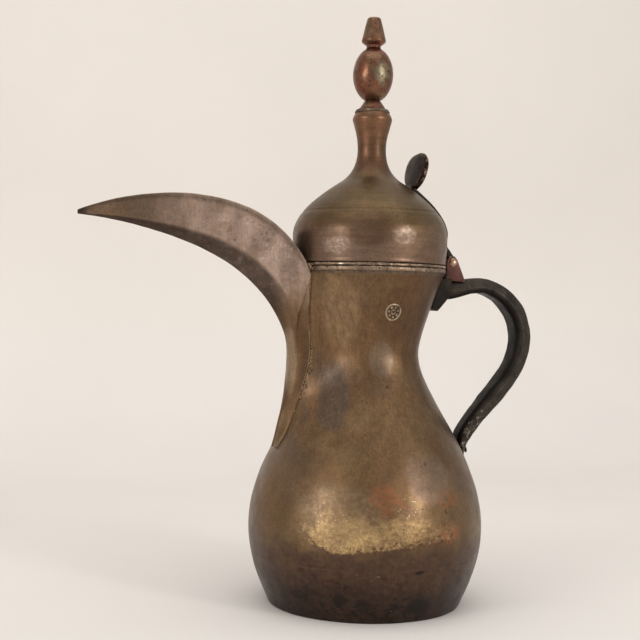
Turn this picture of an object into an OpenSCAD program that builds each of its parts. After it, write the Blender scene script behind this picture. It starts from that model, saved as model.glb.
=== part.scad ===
// Dallah coffee pot: raised brass body with a crescent beak spout, a hinged onion
// lid with a stacked finial, and a forged strap handle.
// Millimetres. The origin is the centre of the underside; +Z is up, the beak points
// along -X and the handle along +X. The pot is symmetric about the XZ plane.

/* [Body] */
// Radius of the flat base
base_r = 54.5; // [52:0.5:58]
// Largest radius of the bulb
belly_r = 66.2; // [64:0.1:69]
// Height of the largest radius
belly_z = 43; // [38:1:48]
// Smallest radius of the neck
waist_r = 28.6; // [27:0.1:31]
// Height of the smallest radius
waist_z = 141; // [138:1:144]
// Radius where the flared neck meets the rim ring
mouth_r = 42.4; // [42:0.1:43]
// Height where the flared neck meets the rim ring
mouth_z = 185.8; // [185:0.1:186]
// Height of the brazed seam between the base pan and the body
seam_z = 30; // [20:1:36]
// Thickness of the raised sheet
wall = 1.3; // [1:0.1:1.6]
// Thickness of the base disc
base_disc_t = 1.8; // [1.4:0.1:2.4]

/* [Rim] */
// Height of the rim ring's top face
rim_top_z = 190.5; // [190:0.1:191]
// Radial thickness of the rim ring
rim_ring_t = 1.3; // [1:0.1:1.6]

/* [Lid] */
// Largest radius of the lid
lid_r = 43.8; // [43.2:0.1:44]
// Height of the lid's lower edge
lid_bottom_z = 191; // [190.9:0.1:191.4]
// Radius of the lid's tall neck
lid_neck_r = 8; // [7.5:0.1:9]
// Height of the narrowest point of the lid's neck
lid_neck_z = 256; // [252:1:260]
// Radius of the collar at the top of the lid's neck
lid_collar_r = 11.1; // [10.5:0.1:12]
// Height of the lid's flat top
lid_top_z = 278.4; // [277:0.1:280]
// Thickness of the lid's sheet
lid_wall = 1.2; // [1:0.1:1.4]
// Outer radius of the guide collar that drops into the mouth
guide_r = 39.8; // [39.6:0.1:40.1]

/* [Finial] */
// Radius of the conical washer
washer_r = 7.3; // [6.5:0.1:8]
// Largest radius of the ovoid bead
bead_r = 11.4; // [10:0.1:12.5]
// Radius of the necks at both ends of the bead
bead_neck_r = 4.2; // [3.6:0.1:4.8]
// Largest radius of the tip
tip_r = 6.9; // [6:0.1:8]
// Full height of the pot, to the top of the tip
pot_h = 331; // [328:0.5:334]
// Radius of the rod that holds the finial together
rod_r = 1.6; // [1.3:0.1:2]

/* [Spout] */
// Distance from the axis to the point of the beak
beak_reach = 164; // [158:1:170]
// Height of the point of the beak
beak_z = 213; // [210:1:216]
// Half width of the beak where it meets the rim
beak_half_w = 17; // [16:0.5:17.5]
// Thickness of the beak's sheet
beak_wall = 1.2; // [1:0.1:1.4]

/* [Handle] */
// Distance from the axis to the middle of the bar at the grip
grip_reach = 95; // [92:1:98]
// Thickness of the bar seen from the side
bar_t = 9; // [8:0.5:10]
// Width of the bar at the grip
bar_w = 17; // [14:0.5:19]
// Width of the bar at both roots
root_w = 13; // [12:0.5:14]
// Thickness of the bracket plate
bracket_t = 5; // [4:0.5:5.5]

/* [Hinge] */
// Distance from the axis to the hinge pin
hinge_x = 49; // [48.8:0.1:49.4]
// Height of the hinge pin
hinge_z = 193.2; // [192.8:0.1:193.6]
// Radius of the hinge pin
pin_r = 1.6; // [1.4:0.1:1.8]
// Width of the lid strap at its knuckle
strap_w = 7; // [6:0.5:7]
// Width of the lid strap on the dome
strap_wide_w = 13; // [8:0.5:14]
// Thickness of the lid strap
strap_t = 2.2; // [1.8:0.1:2.4]
// Width of the thumb leaf
leaf_w = 25; // [20:1:28]
// Height of the thumb leaf
leaf_h = 23; // [20:1:25]

/* [Hidden] */
$fn = 96;

brass_brown = [0.42, 0.32, 0.22];
brass_dark = [0.30, 0.23, 0.18];
copper_red = [0.42, 0.24, 0.17];
iron_dark = [0.20, 0.18, 0.16];

run_gap = 0.05;      // radial clearance of the knuckle on the pin
lug_gap = 0.4;       // clearance between the knuckle and each lug
lug_t = 2.4;
steps = 12;          // points along each curve of an outline

// ---------------------------------------------------------------- curves

// Point at t on the cubic curve with the four control points p
function cubic(p, t) =
    pow(1 - t, 3) * p[0] + 3 * pow(1 - t, 2) * t * p[1]
    + 3 * (1 - t) * t * t * p[2] + pow(t, 3) * p[3];
function cubic_slope(p, t) =
    3 * pow(1 - t, 2) * (p[1] - p[0]) + 6 * (1 - t) * t * (p[2] - p[1])
    + 3 * t * t * (p[3] - p[2]);
function unit(v) = v / norm(v);
// Unit normal on the side away from the axis, for a curve that climbs
function outward(p, t) = let (d = unit(cubic_slope(p, t))) [d[1], -d[0]];
// Point at t, moved by off along the outward normal
function beside(p, t, off) = cubic(p, t) + off * outward(p, t);
function run(p, off, t0 = 0, t1 = 1, n = steps) =
    [for (i = [0 : n]) beside(p, t0 + (t1 - t0) * i / n, off)];
// The t at which a climbing curve reaches height z
function t_at(p, z, lo = 0, hi = 1, n = 24) =
    let (mid = (lo + hi) / 2)
    n == 0 ? mid : cubic(p, mid)[1] < z ? t_at(p, z, mid, hi, n - 1) : t_at(p, z, lo, mid, n - 1);
function mix(a, b, f) = a + (b - a) * f;
function ramp(x, lo, hi) = let (f = min(1, max(0, (x - lo) / (hi - lo)))) f * f * (3 - 2 * f);
function reversed(v) = [for (i = [len(v) - 1 : -1 : 0]) v[i]];
// Points on an arc from angle a0 to a1
function arc(c, r, a0, a1, n = 8) =
    [for (i = [0 : n]) let (a = a0 + (a1 - a0) * i / n) c + r * [cos(a), sin(a)]];

// Outline of the body, as (radius, height)
bulb_low = [[base_r, 0], [base_r + 4.5, 11], [belly_r, 24], [belly_r, belly_z]];
bulb_high = [[belly_r, belly_z], [belly_r, 84], [waist_r, 118], [waist_r, waist_z]];
neck_flare = [[waist_r, waist_z], [waist_r, 149], [34.5, 165], [mouth_r, mouth_z]];
lip_r = mouth_r - 0.4;     // the straight lip inside the rim ring

// Outline of the lid
lid_skirt = [[lid_r - 0.8, lid_bottom_z], [lid_r - 0.5, 195], [lid_r, 199], [lid_r, 203]];
lid_shoulder = [[lid_r, 203], [lid_r, 208], [47, 218], [18, 237]];
lid_waist = [[18, 237], [12.5, 240.6], [lid_neck_r, 246], [lid_neck_r, lid_neck_z]];
lid_flare = [[lid_neck_r, lid_neck_z], [lid_neck_r, 262], [9.4, 266.5], [lid_collar_r, 272.5]];
lid_cap = [[lid_collar_r, 272.5], [lid_collar_r + 0.4, 274], [9.4, 277], [8.6, lid_top_z]];

// Radius of the body's outside at height z, above the belly
function body_r(z) =
    z < waist_z ? cubic(bulb_high, t_at(bulb_high, z))[0]
    : z < mouth_z ? cubic(neck_flare, t_at(neck_flare, z))[0]
    : lip_r;

// ---------------------------------------------------------------- shared shapes

// A solid of the body's outside, used to fit pieces against it
module body_blank() {
    rotate_extrude()
        polygon(concat([[0, belly_z]], run(bulb_high, 0), run(neck_flare, 0), [[0, mouth_z]]));
}
// A flat piece drawn in the XZ plane and centred on it, w wide
module slab(w) {
    rotate([90, 0, 0]) linear_extrude(height = w, center = true) children();
}
// A rivet along +Z: the head's underside is at 0 and the shank runs down to -length
module rivet(head_r, head_h, shank_r, length) {
    rotate_extrude($fn = 32)
        polygon(concat(
            [[0, -length], [shank_r, -length], [shank_r, 0], [head_r, 0]],
            [for (i = [1 : 5]) head_r * cos(18 * i) * [1, 0] + head_h * sin(18 * i) * [0, 1]]
        ));
}
// Moves a piece to (x, z) and turns its +Z to lie along dir in the XZ plane
module aim(at, dir) {
    translate([at[0], 0, at[1]]) rotate([0, atan2(dir[0], dir[1]), 0]) children();
}
// A closed skin over rings that all have the same even number of points. Each end is
// closed by a strip between the ring's first half and its second
module skin(rings) {
    n = len(rings[0]);
    m = len(rings);
    last = (m - 1) * n;
    polyhedron(
        points = [for (ring = rings) each ring],
        faces = concat(
            [for (k = [0 : n / 2 - 2]) [k, k + 1, n - 1 - k]],
            [for (k = [0 : n / 2 - 2]) [k + 1, n - 2 - k, n - 1 - k]],
            [for (i = [0 : m - 2]) for (j = [0 : n - 1])
                [i * n + j, (i + 1) * n + j, (i + 1) * n + (j + 1) % n]],
            [for (i = [0 : m - 2]) for (j = [0 : n - 1])
                [i * n + j, (i + 1) * n + (j + 1) % n, i * n + (j + 1) % n]],
            [for (k = [0 : n / 2 - 2]) [last + k, last + n - 1 - k, last + k + 1]],
            [for (k = [0 : n / 2 - 2]) [last + k + 1, last + n - 1 - k, last + n - 2 - k]]
        )
    );
}

// ---------------------------------------------------------------- body

spout_hole_z = [118, 182];
// The egg-shaped opening from the neck into the spout, seen along X
module spout_hole() {
    low = 5;
    high = 11;
    mid_z = spout_hole_z[1] - high;
    outline = concat(
        arc([0, spout_hole_z[0] + low], low, 180, 360),
        arc([0, mid_z], high, 0, 180)
    );
    rotate([90, 0, -90]) translate([0, 0, 8]) linear_extrude(height = 60) polygon(outline);
}

module body_shell() {
    t_seam = t_at(bulb_low, seam_z);
    outer = concat(run(bulb_low, 0, t_seam, 1, 4), run(bulb_high, 0), run(neck_flare, 0));
    inner = concat(
        run(bulb_low, -wall, t_seam, 1, 4), run(bulb_high, -wall), run(neck_flare, -wall, 0, 0.96)
    );
    lip = [[lip_r, mouth_z], [lip_r, rim_top_z - 0.3], [lip_r - wall, rim_top_z - 0.3],
        [lip_r - wall, mouth_z]];
    color(brass_brown)
        difference() {
            rotate_extrude() polygon(concat(outer, lip, reversed(inner)));
            spout_hole();
            for (z = bracket_rivet_z) aim(neck_point(z), neck_out(z)) rivet_hole();
            aim(foot_rivet_at, foot_rivet_out) rivet_hole();
        }
}

module base_pan() {
    t_seam = t_at(bulb_low, seam_z);
    t_foot = t_at(bulb_low, base_disc_t);
    outer = run(bulb_low, 0, t_foot, t_seam, 10);
    inner = run(bulb_low, -wall, t_foot, t_seam, 10);
    color(brass_dark) rotate_extrude() polygon(concat(outer, reversed(inner)));
}

module base_disc() {
    flange_r = base_r - wall - 0.6;
    flange_top = base_disc_t + 5;
    color(brass_dark)
        rotate_extrude()
            polygon(concat(
                [[0, 0], [base_r - 0.6, 0]],
                arc([base_r - 0.1, 0.7], 0.5, -45, 60, 4),
                [[base_r, base_disc_t], [flange_r, base_disc_t], [flange_r, flange_top],
                [flange_r - wall, flange_top], [flange_r - wall, base_disc_t], [0, base_disc_t]]
            ));
}

module rim_ring() {
    ring_r = lip_r + rim_ring_t;
    bead = 0.9;
    color(brass_brown)
        rotate_extrude()
            polygon(concat(
                [[lip_r, mouth_z + 0.1]],
                arc([ring_r - bead, mouth_z + 0.1 + bead], bead, -90, 0, 4),
                arc([ring_r - bead, rim_top_z - bead], bead, 0, 90, 4),
                [[lip_r, rim_top_z]]
            ));
}

// ---------------------------------------------------------------- spout

keel_beak = [[-beak_reach, beak_z], [-57.5, 202.5], [-47.6, 150], [-47.6, 138]];
keel_tail = [[-47.6, 138], [-47.6, 124], [-49, 112], [-56.5, 88]];
edge_beak = [[-beak_reach, beak_z + 2], [-140, 226], [-70, 240], [-42.4, 190.8]];
crease_end = 1.25;   // station at which the crease has run out into the neck
beak_n = 18;
root_n = 12;
side_n = 6;
root_top_z = mouth_z - 0.4;
root_low_z = 92;

// Keel point at station s: 0 is the point of the beak, 1 the rim and 2 the tail
function keel_at(s) =
    s <= 1 ? cubic(keel_beak, 0.80 * s)
    : s <= 1.4 ? cubic(keel_beak, 0.80 + 0.20 * (s - 1) / 0.4)
    : cubic(keel_tail, (s - 1.4) / 0.6);
function half_w_at(s) =
    s <= 1 ? mix(0.9, beak_half_w, pow(s, 0.8)) : mix(beak_half_w, 5, ramp(s, 1.3, 2));
// Where the beak's upper edge is, or where the root meets the neck
function edge_at(s) =
    s <= 1 ? cubic(edge_beak, s)
    : let (z = mix(root_top_z, root_low_z, pow(s - 1, 0.9)))
    [-sqrt(pow(body_r(z) - 0.5, 2) - pow(half_w_at(s), 2)), z];
function crease_v(s) = let (u = min(1, s)) 0.3 + 0.45 * u * (1 - u);
// Half width at v from keel 0 to edge 1, as a part of half_w_at: a flat-sided
// beak with a crease turns into a rounded root that flares to meet the neck
function flank(s, v) =
    let (
        vc = crease_v(s),
        beak = v < vc ? 0.86 * v / vc : mix(0.86, 1, (v - vc) / (1 - vc)),
        seam = 0.42,
        root = v < seam ? 0.65 * sqrt(1 - pow(1 - v / seam, 2))
            : mix(0.65, 1, pow((v - seam) / (1 - seam), 2.2))
    )
    mix(beak, root, ramp(s, 1, crease_end + 0.15));
// Half section at station s, set in by t from the outside
function flank_points(s, t) =
    let (k = keel_at(s), e = edge_at(s), w = half_w_at(s), long = norm(e - k))
    [for (i = [0 : side_n]) let (
            v = i / side_n,
            vi = v + (1.5 * t / long) * (1 - v),
            p = mix(k, e, vi)
        )
        [p[0], w * flank(s, v) * (1 - t / w), p[1]]];
function both_sides(points) = concat(
    [for (i = [side_n : -1 : 0]) [points[i][0], -points[i][1], points[i][2]]],
    [for (i = [1 : side_n]) points[i]]
);
function spout_ring(s) =
    let (t = mix(0.5, beak_wall, min(1, 4 * s)))
    concat(both_sides(flank_points(s, 0)), reversed(both_sides(flank_points(s, t))));

module spout() {
    stations = concat(
        [for (i = [0 : beak_n]) i / beak_n],
        [for (i = [1 : root_n]) 1 + i / root_n]
    );
    color(brass_brown) skin([for (s = stations) spout_ring(s)]);
}

// ---------------------------------------------------------------- handle

root_x = 47.5;
bar_top = [[root_x, 177.6], [54, 178.4], [61, 180.4], [68, 180.4]];
bar_bend = [[68, 180.4], [79, 180], [grip_reach, 168.3], [grip_reach, 150]];
bar_fall = [[grip_reach, 150], [grip_reach, 126], [70, 112], [59.6, 93.5]];
bar_foot = [[59.6, 93.5], [57.6, 90], [57.2, 84], [60, 75]];
foot_rivet_z = 83;

// The bar's side view at station u, 0 to 4, one whole number a curve
function bar_curve(u) = u < 1 ? bar_top : u < 2 ? bar_bend : u < 3 ? bar_fall : bar_foot;
function bar_at(u) = cubic(bar_curve(u), u >= 4 ? 1 : u - floor(u));
function bar_out(u) =
    let (d = unit(cubic_slope(bar_curve(u), u >= 4 ? 1 : u - floor(u)))) [-d[1], d[0]];
function bar_thick(u) =
    u < 1 ? mix(bar_t + 2, bar_t, ramp(u, 0, 0.7))
    : u < 3 ? bar_t + 1.6 * sin(90 * (u - 1))
    : mix(bar_t, 1.6, ramp(u, 3, 4));
function bar_wide(u) =
    u < 3 ? mix(root_w, bar_w, sin(60 * u)) : mix(root_w, 10, u - 3);
// Bevelled section: narrow outer flat, ridge on each side, narrow inner flat
function bar_ring(u) =
    let (
        c = bar_at(u), n = bar_out(u), t = bar_thick(u) / 2, w = bar_wide(u) / 2,
        side = [[t, 0.35 * w], [t - 0.4, 0.58 * w], [-0.2 * t, w], [-0.45 * t, w],
            [0.3 - t, 0.72 * w], [-t, 0.5 * w]],
        half = [for (q = side) [c[0] + n[0] * q[0], q[1], c[1] + n[1] * q[0]]]
    )
    concat(half, [for (q = reversed(half)) [q[0], -q[1], q[2]]]);

module handle() {
    n = 9;
    color(iron_dark)
        difference() {
            skin([for (i = [0 : 4 * n]) bar_ring(i / n)]);
            body_blank();
            aim(foot_rivet_at, foot_rivet_out) rivet_hole();
        }
}

// Outer surface of the neck or bulb at height z, and the direction out of it
function neck_curve(z) = z < waist_z ? bulb_high : neck_flare;
function neck_point(z) = cubic(neck_curve(z), t_at(neck_curve(z), z));
function neck_out(z) = outward(neck_curve(z), t_at(neck_curve(z), z));

bracket_low_z = 166.5;
bracket_high_z = 183.6;
bracket_half_w = 7.5;
rivet_r = 1.6;
bracket_rivet_z = [170.5];
foot_rivet_at = neck_point(foot_rivet_z);
foot_rivet_out = neck_out(foot_rivet_z);

// The hole that a handle rivet's shank fills
module rivet_hole() {
    translate([0, 0, -8]) cylinder(r = rivet_r, h = 30, $fn = 32);
}

// Spade plate that stands against the flared neck and carries the handle
module handle_bracket() {
    low = neck_point(bracket_low_z);
    high = neck_point(bracket_high_z);
    out = neck_out(bracket_low_z + 8);
    color(iron_dark)
        difference() {
            slab(2 * bracket_half_w)
                polygon([low, low + (bracket_t - 0.8) * out, low + bracket_t * out + [0.3, 0.8],
                    high + [root_x - high[0] + 0.6, -8.5], high + [root_x - high[0] + 0.6, 0], high]);
            body_blank();
            for (z = bracket_rivet_z) aim(neck_point(z), neck_out(z)) rivet_hole();
        }
}

module bracket_rivets() {
    color(copper_red)
        for (z = bracket_rivet_z)
            aim(neck_point(z) + bracket_t * neck_out(z), neck_out(z))
                handle_rivet(bracket_t + wall);
}

module foot_rivet() {
    color(copper_red)
        aim(foot_rivet_at + 5.2 * foot_rivet_out, foot_rivet_out) handle_rivet(5.2 + wall);
}

// A rivet with a domed outer head and a flat button peened over inside the pot
module handle_rivet(grip) {
    button_h = 1;
    rivet(3, 1.4, rivet_r, grip);
    translate([0, 0, -grip - button_h]) cylinder(r = 2.8, h = button_h, $fn = 32);
}

// ---------------------------------------------------------------- hinge

lug_inner = strap_w / 2 + lug_gap;
knuckle_r = 3.3;

// The two pointed ears that stand on the handle's root and hold the pin
module hinge_lugs() {
    ear = [[hinge_x - 4.4, 182.8], [hinge_x - 4.1, hinge_z + 1.0],
        [hinge_x - 2.2, hinge_z + 3.8], [hinge_x + 0.6, hinge_z + 3.9],
        [hinge_x + 2.6, hinge_z + 1.6], [hinge_x + 6.9, 184.4], [hinge_x + 7.6, 182]];
    color(copper_red)
        for (side = [-1, 1])
            difference() {
                translate([0, side * (lug_inner + lug_t / 2), 0]) slab(lug_t) polygon(ear);
                translate([hinge_x, 0, hinge_z]) rotate([90, 0, 0])
                    cylinder(r = pin_r, h = 40, center = true, $fn = 48);
            }
}

module hinge_pin() {
    half = lug_inner + lug_t;
    head_r = 2.5;
    head_h = 1.1;
    color(iron_dark)
        translate([hinge_x, 0, hinge_z]) rotate([90, 0, 0])
            rotate_extrude($fn = 48)
                polygon([[0, -half - head_h], [head_r - 0.8, -half - head_h], [head_r, -half - 0.3],
                    [head_r, -half], [pin_r, -half], [pin_r, half], [head_r, half],
                    [head_r, half + 0.3], [head_r - 0.8, half + head_h], [0, half + head_h]]);
}

// ---------------------------------------------------------------- lid

module lid_dome() {
    outer = concat(run(lid_skirt, 0, 0, 1, 5), run(lid_shoulder, 0), run(lid_waist, 0, 0, 1, 8),
        run(lid_flare, 0, 0, 1, 7), run(lid_cap, 0, 0, 1, 4));
    inner = concat(run(lid_skirt, -lid_wall, 0, 1, 5), run(lid_shoulder, -lid_wall),
        run(lid_waist, -lid_wall, 0, 1, 8), run(lid_flare, -lid_wall, 0, 1, 7));
    color(brass_brown)
        difference() {
            rotate_extrude()
                polygon(concat(outer, [[0, lid_top_z], [0, lid_top_z - lid_wall],
                    [8.4, lid_top_z - lid_wall]], reversed(inner)));
            rod_hole();
            for (t = strap_rivet_t) aim(cubic(lid_shoulder, t), outward(lid_shoulder, t))
                translate([0, 0, -6]) cylinder(r = small_rivet_r, h = 20, $fn = 32);
        }
}

// The turned-in collar that centres the lid in the mouth
module lid_guide() {
    low = mouth_z - 0.8;
    shelf = 194.2;
    wall_in = lid_r - 0.6 - lid_wall;
    color(brass_brown)
        rotate_extrude()
            polygon([[guide_r - 1, low], [guide_r, low], [guide_r, shelf - 1.2],
                [wall_in, shelf - 1.2], [wall_in, shelf], [guide_r - 1, shelf]]);
}

small_rivet_r = 1.1;
strap_rivet_t = [0.52, 0.80];
strap_top_t = 0.93;
strap_taper = [204, 212];    // heights between which the strap widens

// The strap that carries the hinge knuckle and runs up the back of the lid
module lid_strap() {
    under = run(lid_shoulder, 0.05, 0, strap_top_t);
    over = run(lid_shoulder, 0.05 + strap_t, 0, strap_top_t);
    drop_in = [[44.4, 199.6], [45.4, 196.4], [hinge_x - 2, hinge_z - 2]];
    drop_out = [[hinge_x + 2.2, hinge_z + 2.4], [hinge_x + 0.6, hinge_z + 4.8], [47.6, 200.6]];
    narrow = strap_w / 2;
    wide = strap_wide_w / 2;
    half_plan = [[narrow, 180], [narrow, strap_taper[0]], [wide, strap_taper[1]], [wide, 250]];
    color(iron_dark)
        difference() {
            union() {
                intersection() {
                    slab(strap_wide_w + 1)
                        polygon(concat(reversed(under), drop_in, drop_out, over));
                    rotate([90, 0, 90]) linear_extrude(height = 70)
                        polygon(concat(half_plan, [for (p = reversed(half_plan)) [-p[0], p[1]]]));
                }
                translate([hinge_x, 0, hinge_z]) rotate([90, 0, 0])
                    cylinder(r = knuckle_r, h = strap_w, center = true, $fn = 48);
            }
            translate([hinge_x, 0, hinge_z]) rotate([90, 0, 0])
                cylinder(r = pin_r + run_gap, h = strap_w + 2, center = true, $fn = 48);
            for (t = strap_rivet_t) aim(cubic(lid_shoulder, t), outward(lid_shoulder, t))
                translate([0, 0, -6]) cylinder(r = small_rivet_r, h = 20, $fn = 32);
        }
}

module strap_rivets() {
    color(copper_red)
        for (t = strap_rivet_t)
            aim(beside(lid_shoulder, t, 0.05 + strap_t), outward(lid_shoulder, t)) {
                rivet(1.9, 0.9, small_rivet_r, strap_t + lid_wall + 0.05);
                translate([0, 0, -strap_t - lid_wall - 0.75])
                    cylinder(r = 1.8, h = 0.7, $fn = 32);
            }
}

leaf_lean = 12;
leaf_turn = 8;
leaf_t = 2.2;
leaf_foot = beside(lid_shoulder, strap_top_t, 0.05 + strap_t);

// Oval leaf that the thumb pushes to lift the lid
module thumb_leaf() {
    n = 28;
    stalk = 3.2;
    oval = [for (i = [0 : n - 1]) let (a = 360 * i / n)
        [leaf_w / 2 * sin(a) * (1 - 0.12 * cos(a)), leaf_h / 2 * (1 - cos(a)) - 0.6]];
    color(iron_dark)
        translate([leaf_foot[0] - 0.6, 0, leaf_foot[1] - 0.6])
            rotate([0, leaf_lean, 0]) {
                rotate([0, 0, leaf_turn]) rotate([90, 0, 90])
                    linear_extrude(height = leaf_t, center = true) polygon(oval);
                translate([-stalk / 2, -stalk, -1.2]) cube([stalk + 1.6, 2 * stalk, 3.6]);
            }
}

module leaf_rivet() {
    color(copper_red)
        aim(leaf_foot + [3.6, -2.2], outward(lid_shoulder, strap_top_t)) rivet(1.7, 1.2, 0.9, 1.4);
}

// ---------------------------------------------------------------- finial

washer_top_z = 283.8;
bead_top_z = 313.2;
tip_low_z = bead_top_z;
rod_low_z = lid_top_z - lid_wall - 4;
rod_top_z = pot_h - 5;

// The hole that the finial's rod fills
module rod_hole() {
    translate([0, 0, rod_low_z - 1]) cylinder(r = rod_r, h = rod_top_z - rod_low_z + 1, $fn = 48);
}

module finial_washer() {
    color(copper_red)
        difference() {
            rotate_extrude()
                polygon(concat([[0, lid_top_z], [washer_r - 0.7, lid_top_z]],
                    arc([washer_r - 0.6, lid_top_z + 0.8], 0.7, -60, 60, 5),
                    [[bead_neck_r + 0.6, washer_top_z - 0.6], [bead_neck_r, washer_top_z],
                    [0, washer_top_z]]));
            rod_hole();
        }
}

module finial_bead() {
    mid = (washer_top_z + bead_top_z) / 2;
    half = (bead_top_z - washer_top_z) / 2;
    a_end = acos(bead_neck_r / bead_r);
    color(copper_red)
        difference() {
            rotate_extrude()
                polygon(concat([[0, washer_top_z]],
                    [for (i = [-12 : 12]) let (a = a_end * i / 12)
                        [bead_r * cos(a), mid + half * sin(a) / sin(a_end)]],
                    [[0, bead_top_z]]));
            rod_hole();
        }
}

module finial_tip() {
    neck_r = bead_neck_r - 0.3;
    color(copper_red)
        difference() {
            rotate_extrude()
                polygon([[0, tip_low_z], [neck_r + 0.5, tip_low_z], [neck_r, tip_low_z + 1.2],
                    [neck_r + 0.6, tip_low_z + 2.2], [tip_r - 0.6, tip_low_z + 3.4],
                    [tip_r, tip_low_z + 4.2], [tip_r, tip_low_z + 4.8],
                    [3.9, pot_h - 0.8], [3.3, pot_h], [0, pot_h]]);
            rod_hole();
        }
}

module finial_rod() {
    color(iron_dark)
        translate([0, 0, rod_low_z]) cylinder(r = rod_r, h = rod_top_z - rod_low_z, $fn = 48);
}

// The washer that the rod is peened over, under the top of the lid
module rod_burr() {
    color(copper_red)
        translate([0, 0, lid_top_z - lid_wall - 2])
            difference() {
                cylinder(r = 4.5, h = 2, $fn = 48);
                translate([0, 0, -1]) cylinder(r = rod_r, h = 4, $fn = 48);
            }
}

body_shell();
base_pan();
base_disc();
rim_ring();
spout();
handle();
handle_bracket();
bracket_rivets();
foot_rivet();
hinge_lugs();
hinge_pin();
lid_dome();
lid_guide();
lid_strap();
strap_rivets();
thumb_leaf();
leaf_rivet();
finial_washer();
finial_bead();
finial_tip();
finial_rod();
rod_burr();
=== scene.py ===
import math

import bmesh
import bpy
import numpy as np
from mathutils import Matrix, Vector, noise


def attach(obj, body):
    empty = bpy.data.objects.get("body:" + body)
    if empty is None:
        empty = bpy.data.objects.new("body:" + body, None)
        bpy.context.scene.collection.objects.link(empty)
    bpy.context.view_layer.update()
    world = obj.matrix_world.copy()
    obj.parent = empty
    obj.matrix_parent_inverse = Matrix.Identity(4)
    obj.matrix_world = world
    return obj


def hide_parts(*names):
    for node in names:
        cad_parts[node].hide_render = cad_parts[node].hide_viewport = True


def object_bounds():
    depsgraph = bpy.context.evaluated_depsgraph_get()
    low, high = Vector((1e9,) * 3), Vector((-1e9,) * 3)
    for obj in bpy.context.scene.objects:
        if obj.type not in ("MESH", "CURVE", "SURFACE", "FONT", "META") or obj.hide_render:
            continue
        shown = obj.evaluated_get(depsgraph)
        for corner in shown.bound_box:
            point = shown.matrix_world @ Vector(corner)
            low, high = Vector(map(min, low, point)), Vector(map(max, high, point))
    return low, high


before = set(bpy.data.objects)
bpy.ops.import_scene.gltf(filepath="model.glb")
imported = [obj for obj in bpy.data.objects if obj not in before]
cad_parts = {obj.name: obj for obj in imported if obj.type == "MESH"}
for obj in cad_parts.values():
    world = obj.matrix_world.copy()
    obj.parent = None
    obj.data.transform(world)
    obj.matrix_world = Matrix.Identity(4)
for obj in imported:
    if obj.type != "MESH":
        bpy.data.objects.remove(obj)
cad_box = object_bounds()
low_corner, high_corner = np.array([list(c) for c in cad_box])

# Lengths are millimetres in the row frame until a mesh is made. Outlines are (radius, height)
# or (x, height), and they repeat the curves that the CAD source was drawn with.
MM = 0.001
SEAM_Z = 30
FOOT_R = 54.5
MOUTH_Z = 185.8
RIM_TOP_Z = 190.5
LIP_R = 42.0
WALL = 1.3
BULB_LOW = [[FOOT_R, 0], [59, 11], [66.2, 24], [66.2, 43]]
BULB_HIGH = [[66.2, 43], [66.2, 84], [28.6, 118], [28.6, 141]]
NECK_FLARE = [[28.6, 141], [28.6, 149], [34.5, 165], [42.4, MOUTH_Z]]
LID_SKIRT = [[43, 191], [43.3, 195], [43.8, 199], [43.8, 203]]
LID_SHOULDER = [[43.8, 203], [43.8, 208], [47, 218], [18, 237]]
LID_WAIST = [[18, 237], [12.5, 240.6], [8, 246], [8, 256]]
LID_FLARE = [[8, 256], [8, 262], [9.4, 266.5], [11.1, 272.5]]
LID_CAP = [[11.1, 272.5], [11.5, 274], [9.4, 277], [8.6, 278.4]]
KEEL_BEAK = [[-164, 213], [-57.5, 202.5], [-47.6, 150], [-47.6, 138]]
KEEL_TAIL = [[-47.6, 138], [-47.6, 124], [-49, 112], [-56.5, 88]]
EDGE_BEAK = [[-164, 215], [-140, 226], [-70, 240], [-42.4, 190.8]]
SEAM_HIGH = [[17, 186], [13.2, 165], [11, 155], [11, 140]]
SEAM_LOW = [[11, 140], [11, 125], [8.5, 118], [3.5, 88]]
FLANGE_HIGH = [[0, 186], [6, 168], [10.4, 152], [10.4, 140]]
FLANGE_LOW = [[10.4, 140], [10.4, 122], [1.5, 108], [0, 96]]
BAR = [
    [[47.5, 177.6], [54, 178.4], [61, 180.4], [68, 180.4]],
    [[68, 180.4], [79, 180], [95, 168.3], [95, 150]],
    [[95, 150], [95, 126], [70, 112], [59.6, 93.5]],
    [[59.6, 93.5], [57.6, 90], [57.2, 84], [60, 75]],
]
HINGE = (49.0, 193.2)
PIN_R = 1.6
BAR_T = 9
SIDES = 96
SHARP = 42


# ---- curves and numbers

def mix(a, b, share):
    return a + (b - a) * share


def ramp(x, low, high):
    share = np.clip((np.asarray(x, float) - low) / (high - low), 0, 1)
    return share * share * (3 - 2 * share)


def unit(v):
    return v / np.linalg.norm(v, axis=-1, keepdims=True)


def circle(n):
    return np.linspace(0, 2 * math.pi, n, endpoint=False)


def polar(r, angle, z):
    return np.stack([r * np.cos(angle), r * np.sin(angle), z + 0 * angle], axis=-1)


def upright(xz, y):
    """Points of a line in the XZ plane, at y."""
    return np.stack([xz[:, 0], y + 0 * xz[:, 0], xz[:, 1]], axis=1)


def cubic(points, t):
    """Points on the cubic curve with four control points, at each t."""
    p = np.array(points, float)
    t = np.asarray(t, float)[..., None]
    u = 1 - t
    return u ** 3 * p[0] + 3 * u ** 2 * t * p[1] + 3 * u * t * t * p[2] + t ** 3 * p[3]


def slope(points, t):
    """The direction of that curve at each t, with length 1."""
    p = np.array(points, float)
    t = np.asarray(t, float)[..., None]
    u = 1 - t
    d = 3 * u ** 2 * (p[1] - p[0]) + 6 * u * t * (p[2] - p[1]) + 3 * t * t * (p[3] - p[2])
    return unit(d)


def chain(*curves, n=40):
    """One line of points along several cubic curves."""
    t = np.linspace(0, 1, n + 1)
    lines = [cubic(c, t) for c in curves]
    return np.vstack([lines[0]] + [line[1:] for line in lines[1:]])


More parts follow.
